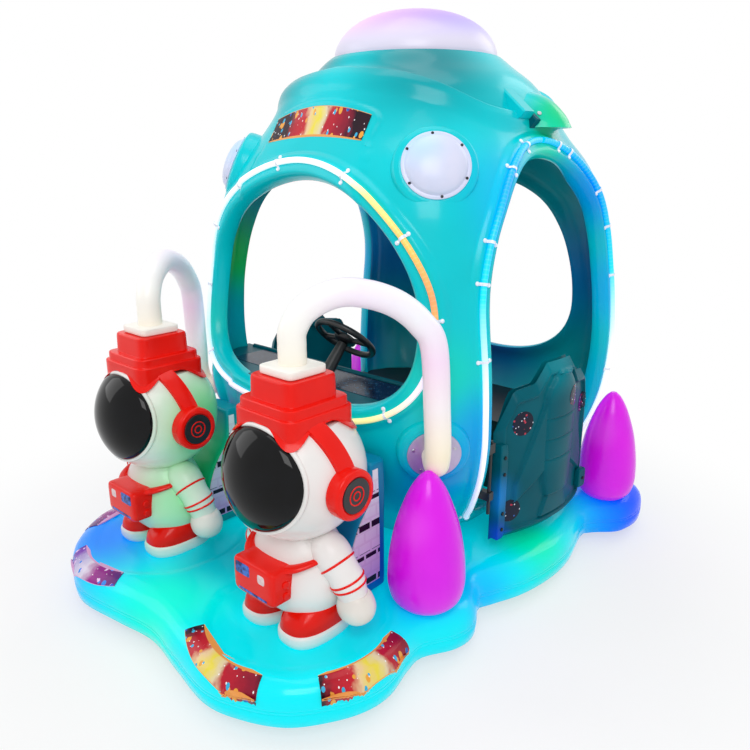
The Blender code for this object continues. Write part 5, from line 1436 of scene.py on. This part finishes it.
def hoses():
    """A tube of constant radius along a Catmull-Rom arch from the helmet's plate to the flange
    on the capsule's corner."""
    place, out = corner_place(FLANGE_H)
    place = place + out * 0.0103
    start = np.array((FIGURE_X, FIGURE_Y, DECK_Z + PLATE_TOP))
    seat = place + out * 0.009
    away = seat + out * 0.088
    span = (away - start) * (1, 1, 0)
    up = np.array((0, 0, 1.0))
    route = [start, start + up * 0.03, start + up * 0.06]
    for share, rise in ((0.01, 0.11), (0.10, 0.175), (0.30, 0.218), (0.50, 0.2115), (0.70, 0.1744),
                        (0.86, 0.109), (0.955, 0.026)):
        route.append(start + span * share + up * rise)
    route += [away - span * 0.012 + up * 0.21, away + up * 0.085, away - out * 0.022 + up * 0.014,
              seat + out * 0.04, seat + out * 0.02, seat]
    line = evenly(spline(np.array(route), 12), 220)
    hose = skin(tube(line, sizes().hose_radius, 40))
    pair("hose_tube", hose, hose_light, "opal_diffuser", replaces="light_hose",
         numbers=tube_numbers(line, 40))
    disc = aimed_skin(turned(rounded_rim(0.098, 0, 0.008, 0.003), 80), place, out)
    pair("flange_disc", disc, flange_zinc, "zinc_steel", replaces="hose_flange")
    screws = screw_ring(rounded_rim(0.0065, 0.007, 0.011, 0.002), 0.078, 0, (20, 92, 164, 236, 308),
                        place, out, 18)
    pair("flange_screws", screws, zinc_screw, "zinc_steel")
    low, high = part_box("hose_plate_right")
    half, middle = (high - low) / 2, (low + high) / 2
    plate = moved(block((half.x, half.y, half.z), 9.0, 72, 28), middle)
    pair("plate_opal", plate, opal_acrylic, "opal_diffuser", replaces="hose_plate")
    head = turned(rounded_rim(0.006, 0, 0.004, 0.0018), 18)
    heads = [aimed_skin(head, (middle.x + a * 0.062, middle.y + b * 0.062, high.z - 0.006), (0, 0, 1))
             for a in (-1, 1) for b in (-1, 1)]
    pair("plate_screws", joined(*heads), zinc_screw, "zinc_steel")


def light_line(opening, angle):
    """Middle line of a light tube on the collar round an opening, and the shell's normals."""
    across, h = oval_point(opening, angle, sizes().tube_margin)
    turn = azimuth_of(opening, across, h)
    return shell_point(turn, h), capsule_normal(turn, h)


def clip_pair(surface, normal, along):
    """Two domed caps beside a tube and a thin strap bent over it: flat, half a circle, flat."""
    side = unit(np.cross(along, normal))
    radius = sizes().tube_radius
    head = turned(((0.0078, -0.001), (0.0080, 0.0015), (0.0062, 0.0042), (0.003, 0.0054)), 18)
    parts = [aimed_skin(head, surface + side * way * 0.0245, normal) for way in (-1, 1)]
    a = np.linspace(-1.45, 1.45, 13)
    bow = grid(np.sin(a), np.cos(a)) * (radius + 0.0018) + (0, 0.008)
    over = np.concatenate([((-0.031, 0.001), (-0.018, 0.001)), bow, ((0.018, 0.001), (0.031, 0.001))])
    v = np.linspace(-0.0055, 0.0055, 2)[None, :, None]
    top = surface + over[:, None, :1] * side + over[:, None, 1:] * normal + v * along
    strap = slab(top + normal * 0.0008, top - normal * 0.0006)
    return parts, strap


def windscreen_tube():
    """Closed tube on the windscreen's collar: the same egg outline 38 mm outside the opening."""
    count = 480
    angle = TAU * np.arange(count) / count
    surface, normal = light_line("front", angle)
    line = surface + normal * TUBE_LIFT
    run = run_of(line, closed=True)[:-1]
    rings = tube(line, sizes().tube_radius, 16, closed=True)
    numbers = {"along": np.repeat(angle / TAU, 16), "run": np.repeat(run, 16)}
    piece("windscreen_tube", ring_tube(rings), windscreen_light, "opal_diffuser",
          replaces="windscreen_light_tube", numbers=numbers)
    heads, straps = [], []
    for degrees in (99.5, 66.0, 35.5, 5.3, 315.0, 285.0, 252.0, 218.0, 176.0, 146.0, 122.0):
        i = round(degrees / 360 * count) % count
        along = unit(line[(i + 1) % count] - line[i - 1])
        two, strap = clip_pair(surface[i], normal[i], along)
        heads += two
        straps.append(strap)
    piece("windscreen_clip_caps", joined(*heads), clear_cap, "opal_diffuser")
    piece("windscreen_clip_straps", joined(*straps), clear_cap, "opal_diffuser")


def doorway_tubes():
    """Two tubes on a doorway's collar, from the foot to the middle of its top."""
    heads, straps = [], []
    for label, start, end, clips in (
            ("front", 250.0, 91.0, (237.0, 186.0, 165.0, 151.6, 123.0, 105.0)),
            ("rear", -70.0, 89.0, (-52.0, -20.0, 8.0, 28.5, 45.0, 69.0, 77.0))):
        angle = np.radians(np.linspace(start, end, 900))
        surface, normal = light_line("right", angle)
        keep = surface[:, 2] > DECK_Z + 0.085
        surface, normal, angle = surface[keep], normal[keep], angle[keep]
        line = evenly(surface + normal * TUBE_LIFT, 300)
        light = skin(tube(line, sizes().tube_radius, 16))
        pair(f"doorway_tube_{label}", light, doorway_light, "opal_diffuser",
             replaces=f"doorway_light_{label}", numbers=tube_numbers(line, 16))
        for degrees in clips:
            i = min(int(np.argmin(np.abs(angle - math.radians(degrees)))), len(angle) - 2)
            two, strap = clip_pair(surface[i], normal[i], unit(surface[i + 1] - surface[i - 1]))
            heads += two
            straps.append(strap)
    for kind, parts in (("caps", heads), ("straps", straps)):
        pair(f"doorway_clip_{kind}", joined(*parts), clear_cap, "opal_diffuser")


def flames():
    """Turned onion shape through smooth stations, with a flat moulded foot ring."""
    profile = ((0.66, 0.0), (0.72, 0.006), (0.90, 0.06), (0.99, 0.15), (1.0, 0.25), (0.95, 0.41),
               (0.80, 0.62), (0.53, 0.83), (0.28, 0.95), (0.10, 0.998))
    for where in FLAME_PLACES:
        low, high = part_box(f"flame_light_{where}_right")
        radius = (high.x - low.x) / 2 * (1.13 if where == "front" else 1.07)
        rise, back = (high.z - low.z) * 0.98, 0.02 if where == "front" else 0.0
        rings = turned([(r * radius, z * rise) for r, z in profile], 72, smooth=7)
        place = ((low.x + high.x) / 2 - back, (low.y + high.y) / 2 + back, low.z)
        pair(f"flame_{where}", moved(skin(rings), place), magenta_flame, "magenta_diffuser",
             replaces=f"flame_light_{where}")


# ---------------- doors and cabin
def door_face(s):
    """Plan of a closed door: a parabola between its front and rear edges."""
    return DOOR_FACE_X + DOOR_BULGE * (1 - (2 * s - 1) ** 2) - 0.007


def door_top(s):
    """Top edge: a flat middle, a steep step, a slow fall, and long chamfers at both ends."""
    return np.interp(np.abs(s - 0.5) * 2, (0, 0.25, 0.27, 0.43, 0.46, 0.73, 0.77, 1.0),
                     (0.762, 0.762, 0.756, 0.690, 0.684, 0.672, 0.662, 0.51))


def swung(surface):
    """A closed door's surface turned about its hinge line to the ajar place."""
    points = surface[0]
    x, y = points[:, 0] - HINGE_X, points[:, 1] - HINGE_Y
    cos, sin = math.cos(DOOR_AJAR), math.sin(DOOR_AJAR)
    points = grid(HINGE_X + cos * x + sin * y, HINGE_Y - sin * x + cos * y, points[:, 2])
    return points, surface[1]


def rocket(y, h):
    """Relief of a rocket on the door: a rounded body, two swept fins and a flared tail, each a
    soft step over its signed distance, less three grooves round the body."""
    a = np.abs(y - 0.345)
    half = np.interp(h, (0.185, 0.25, 0.40, 0.529, 0.62, 0.66, 0.70, 0.722, 0.732),
                     (0.078, 0.098, 0.104, 0.105, 0.104, 0.086, 0.050, 0.020, -0.02))
    inside = np.minimum(half - a, h - 0.185)
    arch = np.sqrt(np.clip(1 - (a / np.maximum(half, 0.01)) ** 2, 0, 1))
    body = 0.014 * smooth_step(inside, -0.003, 0.006) + 0.015 * arch * smooth_step(inside, 0, 0.01)
    fin = np.minimum(np.minimum(0.60 - (a - 0.10) * 2.2 - h, h - 0.30 + (a - 0.10) * 0.70), 0.250 - a)
    tail = np.minimum(np.minimum(0.055 + (0.20 - h) * 0.45 - a, 0.20 - h), h - 0.095)
    out = np.maximum(body, 0.015 * smooth_step(fin, -0.003, 0.008))
    out = np.maximum(out, 0.012 * smooth_step(tail, -0.002, 0.004))
    for groove in (0.529, 0.439, 0.350):
        line = 1 - smooth_step(np.abs(h - groove), 0.002, 0.005)
        out = out - 0.004 * line * smooth_step(inside, 0.0, 0.004)
    return out


def door_point(y, h, extra=0.0):
    """Outer face of a closed door: a bulged panel with a stepped border, plus the rocket."""
    s = np.clip((y - DOOR_FRONT_Y) / (DOOR_REAR_Y - DOOR_FRONT_Y), 0, 1)
    edge = np.minimum(np.minimum(y - DOOR_FRONT_Y, DOOR_REAR_Y - y),
                      np.minimum(h - DOOR_FOOT, (door_top(s) - h) * 0.75))
    x = door_face(s) - 0.024 * (1 - np.clip(edge / 0.026, 0, 1))
    x = x - 0.014 * smooth_step(edge, 0.032, 0.042)
    x = x + np.minimum(rocket(y, h) * smooth_step(edge, 0.024, 0.036), 0.030) + extra
    return grid(x, y, h + DECK_Z)


def doors():
    """Moulded panel between its outer face and a back that keeps clear of the bench, four round
    films on the relief, and a stile and latch with their bolts."""
    s = np.linspace(0, 1, 171)[None, :]
    t = np.linspace(0, 1, 191)[:, None]
    y = DOOR_FRONT_Y + (DOOR_REAR_Y - DOOR_FRONT_Y) * s
    h = DOOR_FOOT + (door_top(s) - DOOR_FOOT) * t
    outer = door_point(y, h)
    back = np.maximum(door_face(s) - DOOR_THICKNESS, DOOR_BACK_X)
    inner = grid(back, y, h + DECK_Z)
    pair("door_panel", swung(slab(outer, inner)), deep_teal_gelcoat, body="door",
         replaces="side_door", crease=40)
    films = ((0.131, 0.533, 0.050), (0.415, 0.600, 0.044), (0.585, 0.515, 0.044),
             (0.092, 0.165, 0.048))
    for i, (y0, h0, r) in enumerate(films):
        angle = (TAU * np.arange(48) / 48)[None, :]
        share = np.array((0.05, 0.5, 0.85, 1.0, 1.0))[:, None]
        yy, hh = y0 + r * share * np.cos(angle), h0 + r * share * np.sin(angle)
        lift = np.array((0.0016, 0.0016, 0.0016, 0.0012, -0.002))[:, None]
        film = skin(door_point(yy, hh, lift))
        lay = grid(yy, hh).reshape(-1, 2)
        lay = np.concatenate([lay, [(y0, h0), (y0, h0)]])
        pair(f"door_film_{i + 1}", swung(film), dark_film, "deep_teal_gelcoat", body="door",
             lay=lay, crease=60)
    leg = moved(block((0.024, 0.024, 0.205), 8.0, 56, 30), (0.694, 0.030, DECK_Z + 0.262))
    latch = moved(block((0.014, 0.026, 0.045), 6.0), (0.716, 0.612, DECK_Z + 0.150))
    pair("door_stile", swung(joined(leg, latch)), deep_teal_gelcoat, body="door")
    bolt = turned(rounded_rim(0.0075, 0, 0.007, 0.002), 20)
    bolts = [aimed_skin(bolt, (x, y, DECK_Z + h), (1, 0, 0)) for x, y, h in (
        (0.716, 0.030, 0.105), (0.716, 0.030, 0.175), (0.716, 0.030, 0.345), (0.716, 0.030, 0.415),
        (0.728, 0.612, 0.150))]
    pair("door_bolts", swung(joined(*bolts)), black_screw, "black_plastic", body="door")


def cabin():
    """Shelf film, a rolled teal lip along the shelf's rear edge, the steering wheel (a torus,
    a hub and three spokes) and the start button."""
    low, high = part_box("dashboard")
    x = np.linspace(-0.56, 0.56, 41)[None, :]
    y = np.linspace(-0.30, DASH_REAR_Y - 0.030, 15)[:, None]
    flat = [grid(x, y, high.z + lift) for lift in (0.0015, -0.002)]
    lay = slab_lay(grid(x, y + 0.2))
    piece("dash_print", slab(*flat), dash_film, "black_gloss", lay=lay, crease=60)
    lip = np.array([(x, DASH_REAR_Y - 0.014, high.z) for x in np.linspace(-0.655, 0.655, 60)])
    piece("dash_lip", skin(tube(lip, 0.012, 20)), deep_teal_gelcoat)
    axis = np.array((0.0, math.sin(WHEEL_TILT), math.cos(WHEEL_TILT)))
    centre = np.array(WHEEL_CENTRE)
    right = np.array((1.0, 0.0, 0.0))
    up = np.cross(axis, right)
    rim = hoop(0.130, 0.0138, centre, axis, 96, 18)
    hub = aimed_skin(turned(((0.020, -0.020), (0.044, -0.014), (0.050, 0.0), (0.044, 0.010),
                             (0.020, 0.015)), 48, smooth=4), centre, axis)
    spokes = []
    for degrees in (5.0, 175.0, 270.0):
        t = math.radians(degrees)
        way = right * math.cos(t) + up * math.sin(t)
        line = centre + way * np.linspace(0.030, 0.127, 14)[:, None]
        spokes.append(skin(tube(line, 0.011, 16)))
    piece("wheel_rim", joined(rim, hub, *spokes), black_plastic, body="wheel",
          replaces="steering_wheel")
    low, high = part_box("start_button")
    place = ((low.x + high.x) / 2, (low.y + high.y) / 2, low.z)
    rise = high.z - low.z
    push = aimed_skin(turned(((0.016, 0), (0.017, 0.004), (0.017, rise - 0.006), (0.014, rise - 0.001),
                              (0.006, rise)), 40, smooth=3), place, (0, 0, 1))
    piece("button_cap", push, red_gelcoat, body="button", replaces="start_button")
    place = (place[0], place[1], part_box("dashboard")[1].z + 0.002)
    ring = hoop(0.020, 0.003, place, (0, 0, 1), 48, 10)
    piece("button_collar", ring, black_plastic)


# ---------------- carried-over pieces
CARRIED = {
    painted_steel: ("chassis_frame", "ride_frame", "gearmotor", "bearing_block_right",
                    "bearing_block_left"),
    foot_rubber: ("levelling_foot_1", "levelling_foot_2", "levelling_foot_3", "levelling_foot_4"),
    zinc_steel: ("pivot_shaft", "crank_disc", "connecting_rod"),
    black_plastic: ("bench_seat", "door_hinge_right", "door_hinge_left", "steering_column"),
    deep_teal_gelcoat: ("dashboard",),
}


def carried_finishes():
    """Finishes on the nodes whose shapes stay as packed."""
    for make, names in CARRIED.items():
        for name in names:
            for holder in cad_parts[name].material_slots:
                holder.material = finish(make)


# ---------------- stage
CAMERA_PLACE = (2.086, -2.216, 1.74)
CAMERA_AZIMUTH = math.radians(42.42)
CAMERA_PITCH = math.radians(16.78)
CAMERA_LENS = 34.4
SOFTBOXES = {  # place, size in metres and power in watts
    "key_softbox": ((3.2, -3.4, 4.6), 2.6, 115.0), "fill_softbox": ((-4.0, -3.0, 3.2), 3.0, 45.0),
    "rear_softbox": ((1.5, 4.5, 3.8), 2.6, 40.0), "top_softbox": ((0.0, 0.0, 6.0), 3.0, 50.0)}


def pale_floor():
    # Matt white studio floor: near the ride it takes the soft shadow, and further off it
    # fades into the plain white of the surroundings.
    material, tree, shader, place = new_finish(Roughness=0.9, Specular_IOR_Level=0.1)
    tone = add_node(tree, "ShaderNodeTexNoise", {"Vector": place, "Scale": 1.5, "Detail": 2.0})
    colour = add_node(tree, "ShaderNodeValToRGB", {"Fac": tone.outputs["Fac"]},
                      stops=((0.3, "#F6F7F8"), (0.7, "#FBFBFC"))).outputs["Color"]
    tree.links.new(colour, shader.inputs["Base Color"])
    white = add_node(tree, "ShaderNodeEmission", {"Color": linear("#FFFFFF"), "Strength": 1.0})
    away = add_node(tree, "ShaderNodeVectorMath", {0: place}, operation="LENGTH")
    far = add_node(tree, "ShaderNodeMapRange", {
        "Value": away.outputs["Value"], "From Min": 1.2, "From Max": 2.4, "To Min": 0.6, "To Max": 1.0},
        interpolation_type="SMOOTHSTEP")
    share = add_node(tree, "ShaderNodeMath", {0: far.outputs["Result"], 1: seen_directly(tree)},
                     operation="MULTIPLY")
    both = add_node(tree, "ShaderNodeMixShader", {
        0: share.outputs[0], 1: shader.outputs["BSDF"], 2: white.outputs["Emission"]})
    tree.links.new(both.outputs["Shader"], next(
        n for n in tree.nodes if n.bl_idname == "ShaderNodeOutputMaterial").inputs["Surface"])
    return material


def stage():
    """Camera, floor, four square area lights and the white surroundings."""
    data = bpy.data.cameras.new("camera")
    data.lens, data.sensor_width, data.clip_end = CAMERA_LENS, 36.0, 100.0
    camera = placed("camera", data)
    camera.location = CAMERA_PLACE
    camera.rotation_euler = (math.pi / 2 - CAMERA_PITCH, 0, CAMERA_AZIMUTH)
    bpy.context.scene.camera = camera

    size = 30.0
    mesh = bpy.data.meshes.new("floor")
    mesh.from_pydata([(-size, -size, 0), (size, -size, 0), (size, size, 0), (-size, size, 0)], [],
                     [(0, 1, 2, 3)])
    mesh.materials.append(finish(pale_floor))
    placed("floor", mesh)

    for name, (place, across, power) in SOFTBOXES.items():
        light = bpy.data.lights.new(name, "AREA")
        light.energy, light.size = power, across
        lamp = placed(name, light)
        lamp.location = place
        look = Vector((0, 0, 0.9)) - Vector(place)
        lamp.rotation_euler = look.to_track_quat("-Z", "Y").to_euler()

    world = bpy.data.worlds.new("studio")
    bpy.context.scene.world = world
    world.use_nodes = True
    tree = world.node_tree
    tree.nodes.clear()
    soft = add_node(tree, "ShaderNodeBackground", {"Color": linear("#FFFFFF"), "Strength": 0.50})
    white = add_node(tree, "ShaderNodeBackground", {"Color": linear("#FFFFFF"), "Strength": 1.0})
    both = add_node(tree, "ShaderNodeMixShader", {
        0: seen_directly(tree), 1: soft.outputs["Background"], 2: white.outputs["Background"]})
    add_node(tree, "ShaderNodeOutputWorld", {"Surface": both.outputs["Shader"]})
    bpy.context.scene.view_settings.view_transform = "Standard"


# ---------------- add-on
class RIDE_OT_stage(bpy.types.Operator):
    """Camera, floor, soft studio light and white surroundings"""

    bl_idname = "ride.stage"
    bl_label = "Stage"

    def execute(self, context):
        stage()
        return {"FINISHED"}


class RIDE_OT_capsule_body(bpy.types.Operator):
    """Four quarters of the capsule with their openings and rolled jambs"""

    bl_idname = "ride.capsule_body"
    bl_label = "Capsule body"

    def execute(self, context):
        capsule_body()
        return {"FINISHED"}


class RIDE_OT_capsule_crown(bpy.types.Operator):
    """Crown with its brow panel, shoulder and recessed neck"""

    bl_idname = "ride.capsule_crown"
    bl_label = "Capsule crown"

    def execute(self, context):
        capsule_crown()
        return {"FINISHED"}


class RIDE_OT_roof_fittings(bpy.types.Operator):
    """Dome, brow print and the rib and scoop on each side"""

    bl_idname = "ride.roof_fittings"
    bl_label = "Roof fittings"

    def execute(self, context):
        roof_dome()
        brow_film()
        hood()
        return {"FINISHED"}


class RIDE_OT_cloud_base(bpy.types.Operator):
    """Lit base with its dishes and prints"""

    bl_idname = "ride.cloud_base"
    bl_label = "Cloud base"

    def execute(self, context):
        cloud_base()
        base_films()
        return {"FINISHED"}


class RIDE_OT_corner_lamps(bpy.types.Operator):
    """Lamps and pads on the capsule's front corners"""

    bl_idname = "ride.corner_lamps"
    bl_label = "Corner lamps"

    def execute(self, context):
        corner_fittings()
        return {"FINISHED"}


class RIDE_OT_hoses(bpy.types.Operator):
    """Arched hoses with their plates and flanges"""

    bl_idname = "ride.hoses"
    bl_label = "Light hoses"

    def execute(self, context):
        hoses()
        return {"FINISHED"}


class RIDE_OT_light_tubes(bpy.types.Operator):
    """Tubes round the windscreen and doorways with their clips"""

    bl_idname = "ride.light_tubes"
    bl_label = "Light tubes"

    def execute(self, context):
        windscreen_tube()
        doorway_tubes()
        return {"FINISHED"}


class RIDE_OT_flames(bpy.types.Operator):
    """Four magenta flame lights"""

    bl_idname = "ride.flames"
    bl_label = "Flame lights"

    def execute(self, context):
        flames()
        return {"FINISHED"}


class RIDE_OT_suits(bpy.types.Operator):
    """Suits, hands, boots and trim of both figures"""

    bl_idname = "ride.suits"
    bl_label = "Figure suits"

    def execute(self, context):
        figure_suits()
        return {"FINISHED"}


class RIDE_OT_heads(bpy.types.Operator):
    """Helmets, visors, caps and earphones of both figures"""

    bl_idname = "ride.heads"
    bl_label = "Figure heads"

    def execute(self, context):
        helmets()
        caps()
        earphones()
        return {"FINISHED"}


class RIDE_OT_packs(bpy.types.Operator):
    """Chest packs and backpacks of both figures"""

    bl_idname = "ride.packs"
    bl_label = "Figure packs"

    def execute(self, context):
        packs()
        return {"FINISHED"}


class RIDE_OT_doors(bpy.types.Operator):
    """Rocket doors with their prints, stiles and bolts"""

    bl_idname = "ride.doors"
    bl_label = "Side doors"

    def execute(self, context):
        doors()
        return {"FINISHED"}


class RIDE_OT_cabin(bpy.types.Operator):
    """Shelf print, steering wheel and start button"""

    bl_idname = "ride.cabin"
    bl_label = "Cabin"

    def execute(self, context):
        cabin()
        return {"FINISHED"}


class RIDE_OT_carried_finishes(bpy.types.Operator):
    """Finishes on the pieces that keep the frame's shape"""

    bl_idname = "ride.carried_finishes"
    bl_label = "Carried-over finishes"

    def execute(self, context):
        carried_finishes()
        return {"FINISHED"}


OPERATORS = (
    RIDE_OT_stage, RIDE_OT_capsule_body, RIDE_OT_capsule_crown, RIDE_OT_roof_fittings,
    RIDE_OT_cloud_base, RIDE_OT_corner_lamps, RIDE_OT_hoses, RIDE_OT_light_tubes, RIDE_OT_flames,
    RIDE_OT_suits, RIDE_OT_heads, RIDE_OT_packs, RIDE_OT_doors, RIDE_OT_cabin,
    RIDE_OT_carried_finishes)


class RIDE_PT_capsule(bpy.types.Panel):
    """Sizes, colours and pieces of the capsule ride"""

    bl_idname = "RIDE_PT_capsule"
    bl_label = "Capsule ride"
    bl_space_type = "VIEW_3D"
    bl_region_type = "UI"
    bl_category = "Capsule ride"

    def draw(self, context):
        for group in (sizes(), colours()):
            for key in group.__annotations__:
                self.layout.prop(group, key)
        for operator in OPERATORS:
            self.layout.operator(operator.bl_idname)


CLASSES = (RideSizes, RideColours, *OPERATORS, RIDE_PT_capsule)


def register():
    for cls in CLASSES:
        bpy.utils.register_class(cls)
    bpy.types.Scene.ride_sizes = PointerProperty(type=RideSizes)
    bpy.types.Scene.ride_colours = PointerProperty(type=RideColours)


def unregister():
    del bpy.types.Scene.ride_colours
    del bpy.types.Scene.ride_sizes
    for cls in reversed(CLASSES):
        bpy.utils.unregister_class(cls)


def main():
    register()
    bpy.ops.ride.stage()
    bpy.ops.ride.capsule_body()
    bpy.ops.ride.capsule_crown()
    bpy.ops.ride.roof_fittings()
    bpy.ops.ride.cloud_base()
    bpy.ops.ride.corner_lamps()
    bpy.ops.ride.hoses()
    bpy.ops.ride.light_tubes()
    bpy.ops.ride.flames()
    bpy.ops.ride.suits()
    bpy.ops.ride.heads()
    bpy.ops.ride.packs()
    bpy.ops.ride.doors()
    bpy.ops.ride.cabin()
    bpy.ops.ride.carried_finishes()


if __name__ == "__main__":
    main()
